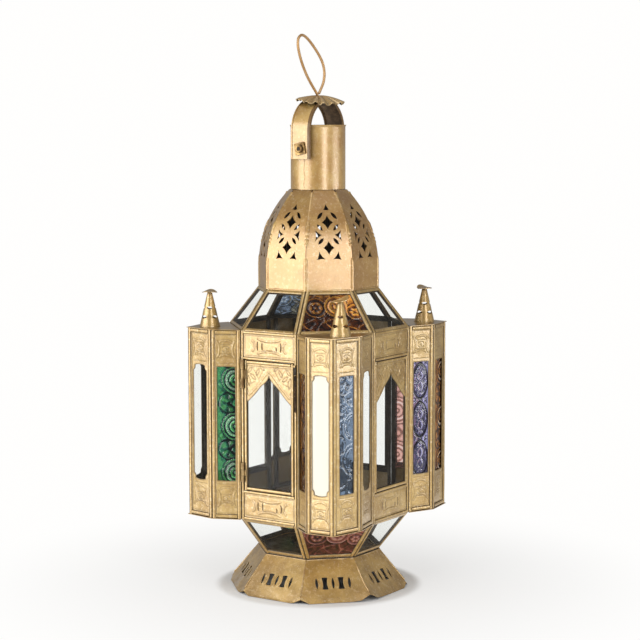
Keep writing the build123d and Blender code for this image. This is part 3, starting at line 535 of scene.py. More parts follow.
def triangles(points, loops, count):
    """Triangles over the first count points, which begin with the loops' own."""
    result = geometry.delaunay_2d_cdt([Vector(p) for p in points[:count]], loop_edges(loops), [], 0, 1e-7)
    if len(result[0]) != count:
        raise ValueError(f"{count - len(result[0])} points of a sheet fell together")
    faces = np.array([f for f in result[2] if len(f) == 3])
    return faces[inside(points[faces].mean(axis=1), loops)]


BACK_MARK = 0.72  # the inside of the stamped sheets is dark, and the back of the pressed panes plain tint


def sheet_mesh(sheet, step, shape, sink, thin):
    """Vertices, faces and the shape's values of one sheet, its front raised by shape(points, edge, sheet),
    all of it set back by sink and made thinner by thin."""
    loops = [split_long(loop, step) for loop in sheet.loops]
    rim = np.vstack(loops)
    columns = np.arange(-sheet.width / 2 + step / 2, sheet.width / 2, step)
    rows = np.arange(step / 2, sheet.height, step)
    lattice = np.array(np.meshgrid(columns, rows)).reshape(2, -1).T
    lattice = lattice[inside(lattice, sheet.loops)]
    away = np.min([distance(lattice, closed(loop)) for loop in sheet.loops], axis=0)
    lattice = lattice[away > step * 0.4]
    points = np.vstack([rim, lattice])
    edge = np.concatenate([np.zeros(len(rim)), away[away > step * 0.4]])
    heights, marks = shape(points, edge, sheet)
    front = triangles(points, loops, len(points))
    back = triangles(points, loops, len(rim))[:, ::-1] + len(points)
    under = np.full(len(rim), thin - sheet.depth - sink)
    places = np.vstack([sheet.place(points, heights - sink), sheet.place(rim, under)])
    faces = [tuple(f) for f in (*front.tolist(), *back.tolist())]
    faces += [(b, a, len(points) + a, len(points) + b) for a, b in loop_edges(loops)]
    return places, faces, np.concatenate([marks, np.full(len(rim), BACK_MARK)])


def add_piece(name, places, faces, material, slot, node=None, body="root", sharp=35, marks=None):
    """New mesh that rides on a body and stands for a CAD node if it has one; marks: label and values."""
    mesh = bpy.data.meshes.new(name)
    mesh.from_pydata([tuple(p) for p in places], [], faces)
    mesh.validate()
    if marks is not None:
        label, values = marks
        attribute = mesh.attributes.new(label, "FLOAT", "POINT")
        attribute.data.foreach_set("value", np.asarray(values, np.float32))
    mesh.shade_smooth()
    mesh.set_sharp_from_angle(angle=math.radians(sharp))
    mesh.materials.append(material)
    piece = bpy.data.objects.new(name, mesh)
    bpy.context.scene.collection.objects.link(piece)
    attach(piece, body)
    if node:
        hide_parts(node)
    return piece


def relief_piece(
    name, node, shape, material, slot, step,
    core_of=axis_core, body="root", label="groove", sink=0.0, thin=0.0,
):
    """One mesh that stands for all the flat sheets or panes of a CAD node, with shape as its relief."""
    made = [sheet_mesh(sheet, step, shape, sink, thin) for sheet in sheets_of(node, core_of)]
    marks = (label, np.concatenate([part[2] for part in made]))
    add_piece(name, *joined([part[:2] for part in made]), material, slot, node, body, marks=marks)


def quad_corners(sheet):
    """The four corners of a strip's face: low left, low right, high right, high left."""
    loop = sheet.loops[0]
    before, after = np.roll(loop, 1, axis=0), np.roll(loop, -1, axis=0)
    runs, turns = loop - before, after - loop
    bend = runs[:, 0] * turns[:, 1] - runs[:, 1] * turns[:, 0]
    corners = loop[np.abs(bend) > 1e-3 * np.hypot(*runs.T) * np.hypot(*turns.T)]
    order = np.argsort(np.arctan2(*(corners - corners.mean(axis=0)).T[::-1]))
    return corners[order]


def came_bar(sheet, seed):
    """Folded came strip over a CAD strip: a rounded, slightly uneven bar, no wider than the strip, with its
    flanks and sides painted dark as shade.
    """
    low_left, low_right, high_right, high_left = quad_corners(sheet)
    if sheet.height > sheet.width:
        sides = (low_left, high_left), (low_right, high_right)
    else:
        sides = (high_left, high_right), (low_left, low_right)
    length = np.linalg.norm(sides[0][1] - sides[0][0])
    width = np.linalg.norm(sides[1][0] - sides[0][0])
    crown = min(1.3, 0.4 * width)
    spots = (-1, -0.97, -0.88, -0.74, -0.55, -0.3, 0, 0.3, 0.55, 0.74, 0.88, 0.97, 1)
    profile = [(width * (1 + u) / 2, -crown * (1 - (1 - abs(u) ** 2.3) ** (1 / 2.3))) for u in spots]
    # painted shade: the bar's flanks and sides are darkened, its crown left clear
    shades = [0.95, 0.9, 0.8, 0.35, 0.06, 0, 0, 0, 0.06, 0.35, 0.8, 0.9, 0.95]
    profile = [(0.0, -sheet.depth), *profile, (width, -sheet.depth)]
    shades = [0.95, *shades, 0.95]
    count = max(2, round(length / 2.5)) + 1
    points, heights = [], []
    for k in range(count):
        share = k / (count - 1)
        left = sides[0][0] + (sides[0][1] - sides[0][0]) * share
        right = sides[1][0] + (sides[1][1] - sides[1][0]) * share
        along = share * length
        dent = 0.22 * abs(uneven(along * 0.06, seed, 0.0)) + 0.12 * abs(uneven(along * 0.35, seed, 7.0))
        pinch = 0.05 * abs(uneven(along * 0.12, seed, 3.0))
        for x, height in profile:
            cross = 0.5 + (x / width - 0.5) * (1 - pinch)
            points.append(left + (right - left) * cross)
            heights.append(height - (dent if height > -sheet.depth else 0.0))
    places = sheet.place(np.array(points), np.array(heights))
    return places, bar_faces(count, len(profile)), shades * count


def bar_faces(count, ring):
    """Faces that join count rings of ring points each, and close both ends."""
    faces = [tuple(range(ring - 1, -1, -1)), tuple(range((count - 1) * ring, count * ring))]
    for k in range(count - 1):
        for j in range(ring):
            a, b = k * ring + j, k * ring + (j + 1) % ring
            faces.append((a, b, b + ring, a + ring))
    return faces


def joined(parts):
    """One list of places and faces from several."""
    places, faces, start = [], [], 0
    for p, f in parts:
        places.append(np.asarray(p))
        faces.extend(tuple(i + start for i in face) for face in f)
        start += len(p)
    return np.vstack(places), faces


def came_piece(name, node, material, core_of=axis_core, body="root"):
    bars = [came_bar(sheet, 3.7 * k) for k, sheet in enumerate(sheets_of(node, core_of))]
    places, faces = joined([bar[:2] for bar in bars])
    marks = ("groove", np.concatenate([bar[2] for bar in bars]))
    piece = add_piece(name, places, faces, material, "gold_came", node, body, 42, marks)
    bm = bmesh.new()
    bm.from_mesh(piece.data)
    bmesh.ops.recalc_face_normals(bm, faces=bm.faces)
    bm.to_mesh(piece.data)
    bm.free()


def tube(path, radii, sides):
    """Round bar along a path, with a radius for each point of it."""
    path = np.asarray(path, float)
    runs = np.gradient(path, axis=0)
    runs /= np.linalg.norm(runs, axis=1)[:, None]
    side = np.cross(runs[0], (0.3, 0.2, 1.0) if abs(runs[0][2]) < 0.9 else (1.0, 0.1, 0.0))
    places = []
    for point, run, radius in zip(path, runs, radii):
        side = side - run * (side @ run)
        side /= np.linalg.norm(side)
        other = np.cross(run, side)
        for k in range(sides):
            turn = 2 * math.pi * k / sides
            places.append(point + radius * (math.cos(turn) * side + math.sin(turn) * other))
    return places, bar_faces(len(path), sides)


def bead(path, radius, swing, seed, pace, sides):
    """Bar along a path whose radius is uneven, in millimetres; seed and pace say where the noise is read."""
    radii = [(radius + swing * uneven(seed[0], j * pace, seed[1])) * MM for j in range(len(path))]
    return tube(path, radii, sides)


def straight(a, b, parts):
    return [a.lerp(b, j / parts) for j in range(parts + 1)]


def smooth_path(points, count):
    """Catmull-Rom curve through the points."""
    points = np.asarray(points, float)
    padded = np.vstack([2 * points[0] - points[1], points, 2 * points[-1] - points[-2]])
    made = []
    for t in np.linspace(0, len(points) - 1, count):
        k = min(int(t), len(points) - 2)
        u = t - k
        a, b, c, d = padded[k : k + 4]
        bend = (c - a) * u + (2 * a - 5 * b + 4 * c - d) * u**2 + (3 * b - a - 3 * c + d) * u**3
        made.append(0.5 * (2 * b + bend))
    return np.array(made)


def round_sheet(rings, turns, hub):
    """Faces of a round sheet's upper and under side, of rings rings each, and of its rims. With hub 1 each
    side begins with a point in its middle, and with hub 0 it has a hole there."""
    side = hub + rings * turns
    upper, rims = [], []
    for j in range(turns):
        a, b = hub + j, hub + (j + 1) % turns
        if hub:
            upper.append((0, a, b))
        else:
            rims.append((a, b, b + side, a + side))
        for _ in range(rings - 1):
            upper.append((a, a + turns, b + turns, b))
            a, b = a + turns, b + turns
        rims.append((a, a + side, b + side, b))
    return upper + [tuple(i + side for i in face[::-1]) for face in upper] + rims


# ---- stamped patterns


def arc(x, y, rx, ry, start, end):
    """Points along part of an ellipse, from start to end degrees."""
    angles = np.radians(np.linspace(start, end, 14))
    return np.column_stack([x + rx * np.cos(angles), y + ry * np.sin(angles)])


def wobble(points, size, seed, scale=0.12):
    """Unevenness of a whole sheet, in millimetres."""
    return np.array([size * uneven(x * scale, y * scale, seed) for x, y in points])


class Stamp:
    """Relief being built up on one sheet: heights in millimetres and how dark its lines are, that darkness
    being painted shade in its grooves and slits, beside its ridges and dots and along its edge.
    """

    def __init__(self, points):
        self.points = points
        self.height = np.zeros(len(points))
        self.dark = np.zeros(len(points))

    def groove(self, path, width, depth, dark):
        mark = np.exp(-((distance(self.points, path) / width) ** 2))
        self.height -= depth * mark
        self.dark = np.maximum(self.dark, dark * mark)

    def ridge(self, path, width, height, dark):
        away = distance(self.points, path)
        self.height += height * np.exp(-((away / width) ** 2))
        # painted shade beside the ridge
        flank = np.exp(-(((away - 1.6 * width) / (0.6 * width)) ** 2))
        self.height -= 0.25 * height * flank
        self.dark = np.maximum(self.dark, dark * flank)

    def rule(self, x, y, reach, width, depth, dark):
        """Level groove that reaches as far to the left of x as to its right."""
        self.groove([(x - reach, y), (x + reach, y)], width, depth, dark)

    def slit(self, x, low, high, bow):
        path = np.column_stack([x + bow * np.sin(np.linspace(0, np.pi, 7)), np.linspace(low, high, 7)])
        # the slit is a dent painted dark as the shade of an opening
        mark = np.exp(-((distance(self.points, path) / 0.6) ** 4))
        self.height -= 0.42 * mark
        self.dark = np.maximum(self.dark, mark)
        self.ridge(path + (1.1, 0), 0.5, 0.2, 0.1)

    def dot(self, x, y, radius, height):
        away = np.hypot(self.points[:, 0] - x, self.points[:, 1] - y)
        self.height += height * np.exp(-((away / radius) ** 2))
        # painted shade in a ring round the dot
        self.dark = np.maximum(self.dark, 0.5 * np.exp(-(((away - 1.5 * radius) / 0.4) ** 2)))

    def result(self, edge):
        fade = np.clip(edge / 0.6, 0, 1)
        # painted shade along the sheet's edge, where it meets its frame
        border = 0.75 * np.exp(-((edge / 0.9) ** 2))
        return np.clip(self.height, -0.44, 0.36) * fade, np.maximum(self.dark, border)


def frame_lines(stamp, x, low, high, inset, dark=0.45):
    """Fine engraved rectangle that runs round a sheet."""
    left, right = -x + inset, x - inset
    low, high = low + inset, high - inset
    stamp.groove([(left, low), (right, low), (right, high), (left, high), (left, low)], 0.45, 0.2, dark)


def flat_plate(points, edge, sheet):
    """Upper and lower plates of a flat side: a bracketed cartouche between pairs of chisel cuts."""
    stamp = Stamp(points)
    stamp.height += wobble(points, 0.22, sheet.origin.x * 100 + sheet.origin.z * 50)
    half, top = sheet.width / 2, sheet.height
    middle = top / 2
    frame_lines(stamp, half, 0, top, 3.6)
    stamp.rule(0, top - 2.2, half - 5, 0.4, 0.14, 0.3)
    for side in (-1, 1):
        stamp.ridge(arc(0, middle + side * 9.5, 15, 4.6, -side * 150, -side * 30), 0.7, 0.26, 0.35)
        stamp.groove(arc(0, middle + side * 6.0, 9, 2.0, -side * 160, -side * 20), 0.5, 0.2, 0.5)
        turn = 90 + side * 90
        stamp.ridge(arc(side * 21, middle, 4.0, 5.2, turn - 70, turn + 70), 0.7, 0.24, 0.35)
        stamp.groove([(side * 17.5, middle - 4.5), (side * 17.5, middle + 4.5)], 0.4, 0.18, 0.4)
        stamp.slit(side * 13.6, middle - 3.8, middle + 3.6, side * 0.5)
    stamp.slit(-8.2, middle - 3.2, middle + 3.0, -0.3)
    stamp.slit(8.6, middle - 3.4, middle - 0.6, 0.2)
    for x in np.arange(-half + 5, half - 5, 2.4):
        stamp.dot(x, 1.7, 0.45, 0.16)
    return stamp.result(edge)


def arch_relief(points, edge, sheet):
    """Spandrels over the pointed arch: overlapping leaves between a line at the top and the arch's edge."""
    stamp = Stamp(points)
    stamp.height += wobble(points, 0.2, sheet.origin.y * 90)
    half, top = sheet.width / 2, sheet.height
    stamp.rule(0, top - 4.6, half - 2, 0.45, 0.2, 0.45)
    stamp.rule(0, top - 6.2, half - 2, 0.4, 0.14, 0.25)
    for side in (-1, 1):
        rim = [(0, 30.6), (4.2, 27.2), (9.5, 21.2), (13.6, 16.4), (19.0, 11.2), (24.0, 6.4)]
        stamp.ridge(np.array([(side * x, y) for x, y in rim]), 0.7, 0.24, 0.35)
        for x, y, turn, long, wide in (
            (24.4, 20.5, 80, 10.5, 3.6),
            (19.2, 24.6, 40, 8.5, 3.0),
            (13.6, 29.4, 118, 7.6, 2.8),
            (8.2, 33.6, 35, 6.4, 2.4),
            (23.0, 31.0, 135, 7.4, 2.6),
            (26.4, 9.6, 96, 5.4, 2.0),
        ):
            angle = math.radians(turn)
            t = np.linspace(-1, 1, 11)
            for edge_side in (-1, 1):
                a, b = long * t * 0.5, edge_side * wide * 0.5 * (1 - t * t)
                path = np.column_stack([
                    side * (x + a * math.cos(angle) - b * math.sin(angle)),
                    y + a * math.sin(angle) + b * math.cos(angle),
                ])
                stamp.groove(path, 0.48, 0.22, 0.5)
        stamp.groove([(side * 5, 35.2), (side * 12, 22.4), (side * 20, 34.6)], 0.45, 0.18, 0.4)
        stamp.groove([(side * 16.5, 20.0), (side * 27.5, 15.5)], 0.45, 0.18, 0.4)
    return stamp.result(edge)


def cartouche(stamp, x, y, flip):
    """Spool shape with hollow sides, an eye with a dot, and brow lines."""
    for side in (-1, 1):
        turn = 90 + side * 90
        stamp.ridge(arc(x + side * 11.2, y, 4.6, 9.0, turn - 62, turn + 62), 0.6, 0.26, 0.45)
        stamp.groove(arc(x, y + side * 1.0, 3.4, 1.9, side * 8, side * 172), 0.42, 0.22, 0.55)
    stamp.ridge(arc(x, y + flip * 6.0, 6.4, 3.0, 15, 165), 0.6, 0.26, 0.45)
    stamp.ridge(arc(x, y - flip * 8.6, 6.4, 3.0, 20, 160), 0.6, 0.22, 0.4)
    stamp.rule(x, y - flip * 4.4, 5.6, 0.42, 0.2, 0.5)
    stamp.rule(x, y + flip * 4.6, 5.0, 0.42, 0.2, 0.45)
    stamp.dot(x, y, 0.7, 0.3)


def bay_relief(points, edge, sheet):
    """Narrow bay sheet: engraved border and a cartouche above and below the window."""
    stamp = Stamp(points)
    stamp.height += wobble(points, 0.2, sheet.origin.x * 70 + sheet.origin.y * 110)
    half, top = sheet.width / 2, sheet.height
    window = sheet.loops[1] if len(sheet.loops) > 1 else np.array([(-9.0, 38.0), (9.0, 151.0)])
    low, high = window[:, 1].min(), window[:, 1].max()
    middle = (window[:, 0].min() + window[:, 0].max()) / 2
    frame_lines(stamp, half, 0, top, 1.6, 0.5)
    reach = min(half - 3.0, 9.0)
    for foot, head, flip in ((3.0, low - 2.0, -1), (high + 2.0, top - 3.0, 1)):
        cartouche(stamp, middle, (foot + head) / 2, flip)
        stamp.rule(middle, head - 1.4, reach, 0.4, 0.18, 0.45)
        stamp.rule(middle, foot + 1.4, reach, 0.4, 0.18, 0.45)
    height, dark = stamp.result(edge)
    beside = np.abs(points[:, 1] - (low + high) / 2) < (high - low) / 2 + 1
    lip = np.exp(-(((edge - 0.7) / 0.5) ** 2)) * beside
    return height + 0.1 * lip, dark


# ---- pressed glass patterns


def near(value, spread):
    """1 where value is 0, fading to 0 over about spread."""
    return np.exp(-((value / spread) ** 2))


def scallop_glass(points, edge, sheet):
    """Flowers with a dark eye up the pane and ripples that spread from its edge between them; darker towards
    the right as painted reflection, with painted highlight on the ripples' right half.
    """
    x, y = points[:, 0], points[:, 1] - 14.0
    cy = np.mod(y, 46.0) - 23.0
    flower = np.hypot(x - 2.5, cy)
    angle = np.arctan2(cy, x - 2.5)
    petals = near(flower - 6.0, 2.6) * np.cos(5 * angle)
    height = 0.45 + 0.25 * petals - 0.5 * near(flower, 2.3) - 0.5 * near(flower - 10.4, 1.0)
    ripple = np.hypot(x - 9.0, np.mod(y + 23.0, 46.0) - 23.0)
    rings = np.cos(ripple * 2 * np.pi / 4.4)
    height = np.where(ripple < 13.5, 0.42 + 0.4 * rings + 0.02 * x, height)
    # painted reflection: the level falls towards the right, so the right side comes out darker
    height -= 0.022 * (x + 3) + 0.28 * near(ripple - 14.2, 0.9)
    # painted highlight: a raised ring on the right half only, which comes out pale
    height += 0.8 * near(ripple - 8.8, 0.7) * (x > 0.5) + wobble(points, 0.3, 3.0, 0.3)
    return shaped_glass(height, edge)


def arc_glass(points, edge, sheet):
    """Quiet slate pane: wide arcs crossing it, with a few commas, dents where the glass folded, that are
    painted dark as shade.
    """
    x, y = points[:, 0], points[:, 1]
    height = 0.56 + wobble(points, 0.22, 8.0, 0.25)
    for cx, cy, size, lift in (
        (9, 98, 9, 0.3), (-8, 84, 8, 0.22), (10, 70, 13, 0.42), (10, 70, 10.4, 0.3), (-10, 52, 9, 0.22),
        (10, 38, 15, 0.3), (10, 38, 11, 0.22), (-9, 22, 11, 0.3), (9, 12, 8, 0.3), (-2, 108, 6, -0.3),
    ):
        height += lift * near(np.hypot(x - cx, y - cy) - size, 0.8)
    for cx, cy, turn, long in (
        (-4, 112, 0.2, 2.6), (3, 110, -0.3, 2.2), (-5, 104, 0.5, 2.4), (4, 97, 0.1, 2.0), (-3, 91, -0.4, 2.2),
        (5, 60, 0.6, 1.8), (-4, 47, 0.3, 1.8), (3, 30, -0.2, 2.0), (-5, 14, 0.4, 2.2), (5, 20, 0.9, 1.6),
    ):
        u = (x - cx) * math.cos(turn) + (y - cy) * math.sin(turn)
        v = (y - cy) * math.cos(turn) - (x - cx) * math.sin(turn) - 0.12 * u * u
        height -= 0.75 * near(u, long) * near(v, 0.75)
    return shaped_glass(height, edge)


def chain_glass(points, edge, sheet):
    """Tall ovals ringed in black up the pane, each with a chain of pale drops, and pale darts between."""
    x, y = points[:, 0], points[:, 1]
    cy = np.mod(y - 2.0, 39.0) - 19.5
    oval = np.hypot(x / 9.6, cy / 18.2)
    height = 0.5 + wobble(points, 0.16, 5.0, 0.5)
    strand = 3.4 * np.abs(np.sin(cy * np.pi / 11.0))
    height += 0.6 * near(np.abs(x) - strand, 0.85) * (oval < 0.8)
    height -= 0.5 * near(np.hypot(x, np.mod(cy + 5.5, 11.0) - 5.5), 1.3) * (oval < 0.8)
    height -= 0.75 * near(oval - 0.97, 0.07)
    height += 0.55 * near((np.abs(x) - 5.2) - 0.55 * (np.abs(cy) - 19.5), 1.1) * (oval > 1.05)
    return shaped_glass(height, edge)


def swirls(points, edge, sheet):
    """Two large ring rosettes side by side high on a broad pane, scrolls and flecks below them."""
    x, y = points[:, 0], points[:, 1]
    height = 0.16 + 0.3 * np.clip((y - 16) / 10, 0, 1) + wobble(points, 0.34, 5.0, 0.26)
    scroll = np.abs(np.sin(0.30 * x + 1.3 * np.sin(0.22 * y)) - np.cos(0.34 * y + 0.8 * np.sin(0.2 * x)))
    height += 0.5 * near(scroll, 0.16)
    for cx, cy, size, lift in ((-15.5, 27, 11.0, -0.08), (4.5, 28, 11.5, 0.36), (23, 22, 8.5, 0.16)):
        radius = np.hypot(x - cx, y - cy)
        angle = np.arctan2(y - cy, x - cx)
        rings = 0.4 + lift + 0.4 * np.cos((size - radius) * 2 * np.pi / 5.6)
        rings += 0.3 * near(radius - 0.42 * size, 2.2) * np.cos(6 * angle)
        height = np.where(radius < size, rings, height) - 0.3 * near(radius - size - 0.8, 0.8)
    return shaped_glass(height, edge)


def flat_glass(points, edge, sheet):
    """Window glass, hardly uneven; the pane that faces a little right of the door is opal glass with a
    painted glow.
    """
    azimuth = math.degrees(math.atan2(sheet.normal.x, -sheet.normal.y))
    return wobble(points, 0.04, 2.0, 0.1) - 0.04, np.full(len(points), float(2 < azimuth < 20))


def shaped_glass(level, edge):
    """Relief kept inside the pane's face, and its level from 0 to 1 for the colour."""
    level = np.clip(level, 0.0, 1.0)
    fade = np.clip(edge / 1.2, 0, 1)
    return (level - 1.0) * 0.62 * fade, level


# ---- the lantern


def core_of_node(name):
    """Middle of what a node encloses, as a point for facing()."""
    low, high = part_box(name)
    level = (low.z + high.z) / 2
    for bay, azimuth in BAY_AZIMUTHS.items():
        if name.startswith(bay + "_bay"):
            return tuple(at(azimuth, BAY_CORE, level))
    return (0.0, 0.0, level)


WARM = (0.56, 0.355, 0.105)
WARM_DEEP = (0.42, 0.225, 0.05)
GOLD = (0.56, 0.365, 0.11)
GOLD_DEEP = (0.41, 0.245, 0.06)
DOME_TONES = (0.53, 0.32, 0.09), (0.41, 0.21, 0.048)
COVER_TONES = (0.48, 0.31, 0.10), (0.32, 0.185, 0.05)
STRAP_TIN = (0.075, 0.048, 0.027)
STRAP_SHADED_HEM = 0.0028  # width of the strap's folded edge that is painted dark as shade
GLASS = {
    "blue": ("blue_pressed_glass", (0.22, 0.29, 0.40), (0.09, 0.125, 0.19), (0.006, 0.007, 0.01)),
    "green": ("green_pressed_glass", (0.17, 0.66, 0.20), (0.03, 0.20, 0.12), (0.003, 0.014, 0.018)),
    "violet": ("violet_pressed_glass", (0.42, 0.40, 0.66), (0.14, 0.13, 0.26), (0.004, 0.003, 0.006)),
    "amber": ("amber_pressed_glass", (0.46, 0.20, 0.04), (0.12, 0.035, 0.006), (0.01, 0.004, 0.002)),
    "amber_roof": (
        "amber_roof_glass", (0.80, 0.34, 0.05), (0.20, 0.05, 0.008), (0.016, 0.004, 0.002), (0.98, 0.62, 0.14)
    ),
    "rose": ("rose_pressed_glass", (0.86, 0.52, 0.46), (0.62, 0.30, 0.25), (0.10, 0.03, 0.02)),
    "wine": (
        "wine_pressed_glass", (0.40, 0.13, 0.09), (0.16, 0.035, 0.025), (0.03, 0.006, 0.004),
        (0.62, 0.34, 0.26), 0.5,
    ),
}


def paint_nodes():
    """Materials of the CAD nodes; those that stay in sight are the ones named here."""
    for name, node in nodes.items():
        if name == "dome_gores":
            material = aged_gold(f"{name}_paint", *DOME_TONES, core_of_node(name), 0.4)
        elif name in ("neck_tube", "bail_strap"):
            # the strap's +X folded edge gets painted shade
            strap = {"tin": STRAP_TIN, "hem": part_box(name)[1].x - STRAP_SHADED_HEM} if name == "bail_strap" else {}
            core = core_of_node(name)
            material = aged_gold(f"{name}_paint", WARM, WARM_DEEP, core, 0.4, metal=0.4, **strap)
        elif name.startswith("bay_") and "covers" in name:
            material = aged_gold(f"{name}_paint", *COVER_TONES, None, 0.2)
        elif name == "finial_cones":
            material = aged_gold(f"{name}_paint", GOLD, GOLD_DEEP)
        elif "glass" in name:
            material = glass["clear"]
        elif name in ("square_washers", "ring_nuts"):
            material = worn_metal(f"{name}_gilt", (0.46, 0.30, 0.115), (0.15, 0.085, 0.03), 0.4, 0.3)
        elif name in ("base_plate", "drip_pan", "candle_cup", "latch_button", "pivot_screws"):
            material = worn_metal(f"{name}_tin", (0.06, 0.05, 0.038), (0.025, 0.02, 0.015), 0.5)
        else:
            material = worn_metal(f"{name}_worn", (0.46, 0.32, 0.15), (0.20, 0.12, 0.05))
        node.data.materials.clear()
        node.data.materials.append(material)


SINK = 0.8  # how far the stamped sheets lie deeper in their frames than the frames' round crowns need
GLASS_SINK = 1.0
GLASS_THIN = 0.5
STEP = 0.6  # spacing of the pressed relief's points, in millimetres, and that of the stamped relief's
STAMP_STEP = 0.62


def stamped_sheets():
    paint = aged_gold("stamped_paint", (0.58, 0.39, 0.13), GOLD_DEEP, None, 0.6, groove=True)
    rows = [
        ("upper_stamped_plates", "upper_plates", flat_plate, axis_core, "root"),
        ("lower_stamped_plates", "lower_plates", flat_plate, axis_core, "root"),
        ("fixed_stamped_arches", "fixed_arch_plates", arch_relief, axis_core, "root"),
        ("door_stamped_arch", "door_arch_plate", arch_relief, axis_core, "door"),
    ]
    for bay in BAY_AZIMUTHS:
        rows.append((f"{bay}_bay_stamping", f"{bay}_bay_sheets", bay_relief, bay_core, "root"))
    for name, node, shape, core_of, body in rows:
        relief_piece(name, node, shape, paint, "gold_stamped_sheet", STAMP_STEP, core_of, body, sink=SINK)


def pressed_panes():
    bedded = ("relief", GLASS_SINK, GLASS_THIN)
    shapes = {"blue": arc_glass, "violet": chain_glass}
    for colour in ("green", "blue", "violet", "amber", "rose"):
        name, node, shape = f"bay_pane_{colour}", f"bay_glass_{colour}", shapes.get(colour, scallop_glass)
        relief_piece(name, node, shape, glass[colour], f"{colour}_glass", STEP, bay_core, "root", *bedded)
    for node, colour in (
        ("roof_glass_amber", "amber_roof"),
        ("roof_glass_blue", "blue"),
        ("lower_glass_wine", "wine"),
        ("lower_glass_green", "green"),
    ):
        name, slot = node.replace("glass", "pane"), colour.split("_")[0] + "_glass"
        relief_piece(name, node, swirls, glass[colour], slot, STEP, label="relief")
    for name, node, core_of, body in (
        ("bay_clear_panes", "bay_glass_clear", bay_core, "root"),
        ("fixed_sash_panes", "fixed_sash_glass", axis_core, "root"),
        ("door_pane", "door_glass", axis_core, "door"),
    ):
        relief_piece(name, node, flat_glass, glass["clear"], "clear_glass", 5.0, core_of, body, *bedded)


def came_frames():
    """Folded strips of the flat sides, the sashes, the bays, the roof and the funnel."""
    for name in sorted(nodes):
        if name.endswith("_frame") or name.endswith("_frames") or name in ("fixed_sashes", "door_sash"):
            material = aged_gold(f"{name}_paint", GOLD, GOLD_DEEP, core_of_node(name), 0.7, groove=True)
            body = "door" if name == "door_sash" else "root"
            came_piece(f"{name}_came", name, material, bay_core if "_bay_" in name else axis_core, body)


LOOP_SHAPE = (
    (-2.6, 495.8), (-9.0, 502.3), (-17.8, 511.6), (-25.6, 521.6), (-31.4, 531.2), (-35.0, 541.0),
    (-34.2, 548.2), (-28.6, 551.6), (-21.8, 550.6), (-13.6, 546.2), (-5.0, 539.4), (3.0, 531.6),
    (8.6, 523.6), (10.8, 514.6), (9.0, 506.2), (4.8, 499.6), (1.6, 495.2),
)
LOOP_HOOK = ((0, 5.4, 485.4), (0, 3.0, 485.1), (0, 1.0, 486.0), (0, 0.1, 488.2), (0, -0.4, 492.0))


def hanging_loop():
    """Wire bent by hand into a leaning loop, hooked through the strap and closed above the cap."""
    path = smooth_path([*LOOP_HOOK, *((0.6 * math.sin(y * 0.1), y, z) for y, z in LOOP_SHAPE)], 220) * MM
    wire = worn_metal("bent_wire", (0.72, 0.47, 0.24), (0.50, 0.29, 0.12), 0.5, 0.0, 14.0)
    bar = bead(path, 1.35, 0.07, (0, 4), 0.09, 12)
    add_piece("hanging_loop_wire", *bar, wire, "gold_wire", "hanging_loop", "loop", 60)


CAP_FLUTES = 17
CAP_CROWN = 493.4  # level of the cap's middle, in millimetres
CAP_HOLE, CAP_REACH, CAP_THICKNESS = 1.9, 25.6, 0.45
CAP_RINGS, CAP_TURNS = 20, CAP_FLUTES * 14
CAP_LOW_SIDE = math.radians(78 - 90)  # where its rim is bent down the most
CAP_WIDE_SIDE = math.radians(34)


def cap_rosette():
    """Fluted tin rosette, pressed by hand: sharp pleats, a wavy rim, and one side bent down further; the
    hollows of its pleats and its underside are painted dark as shade.
    """
    low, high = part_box("cap_rosette")
    places, marks = [], []
    for face, k, j in np.ndindex(2, CAP_RINGS, CAP_TURNS):
        share = k / (CAP_RINGS - 1)
        turn = 2 * math.pi * j / CAP_TURNS
        bent = uneven(2.2 * math.cos(turn), 2.2 * math.sin(turn), 1.5)
        pleat = math.cos(CAP_FLUTES * turn + 1.6 * bent)
        pleat = math.copysign(abs(pleat) ** 0.7, pleat)
        lean = 0.5 + 0.5 * math.cos(turn - CAP_LOW_SIDE)
        radius = CAP_HOLE + (CAP_REACH - CAP_HOLE) * share * (1 + 0.03 * pleat * share + 0.05 * bent * share)
        radius = min(radius * (0.93 + 0.1 * math.cos(turn - CAP_WIDE_SIDE)), CAP_REACH + 1.4)
        depth = (0.75 + 0.75 * lean + 0.5 * bent) * pleat * share**0.9
        droop = (3.6 + 5.6 * lean**1.3) * share**1.7 + 1.6 * bent * share**2
        level = min(CAP_CROWN - droop + depth - face * CAP_THICKNESS, CAP_CROWN + 1.2)
        places.append((radius * math.cos(turn) * MM, radius * math.sin(turn) * MM, level * MM))
        # painted shade in the hollows of the pleats and under the cap
        marks.append(0.6 * max(0.0, -pleat - 0.1) * min(1, 3 * share) + 0.5 * face)
    core = (0.0, 0.0, (low.z + high.z) / 2 - 0.06)
    paint = aged_gold("cap_paint", (0.78, 0.56, 0.27), (0.56, 0.36, 0.13), core, 0.3, groove=True)
    faces = round_sheet(CAP_RINGS, CAP_TURNS, 0)
    marks = ("groove", marks)
    add_piece("cap_fluted_rosette", places, faces, paint, "gold_sheet", "cap_rosette", "bail", 60, marks)


DISC_RINGS, DISC_TURNS = 7, 40
DISC_BENDS = ((20, 0.05), (118, -0.16), (62, 0.14), (160, -0.08))  # azimuth of each one's fold, and its tip
DISC_THICKNESS = 0.6


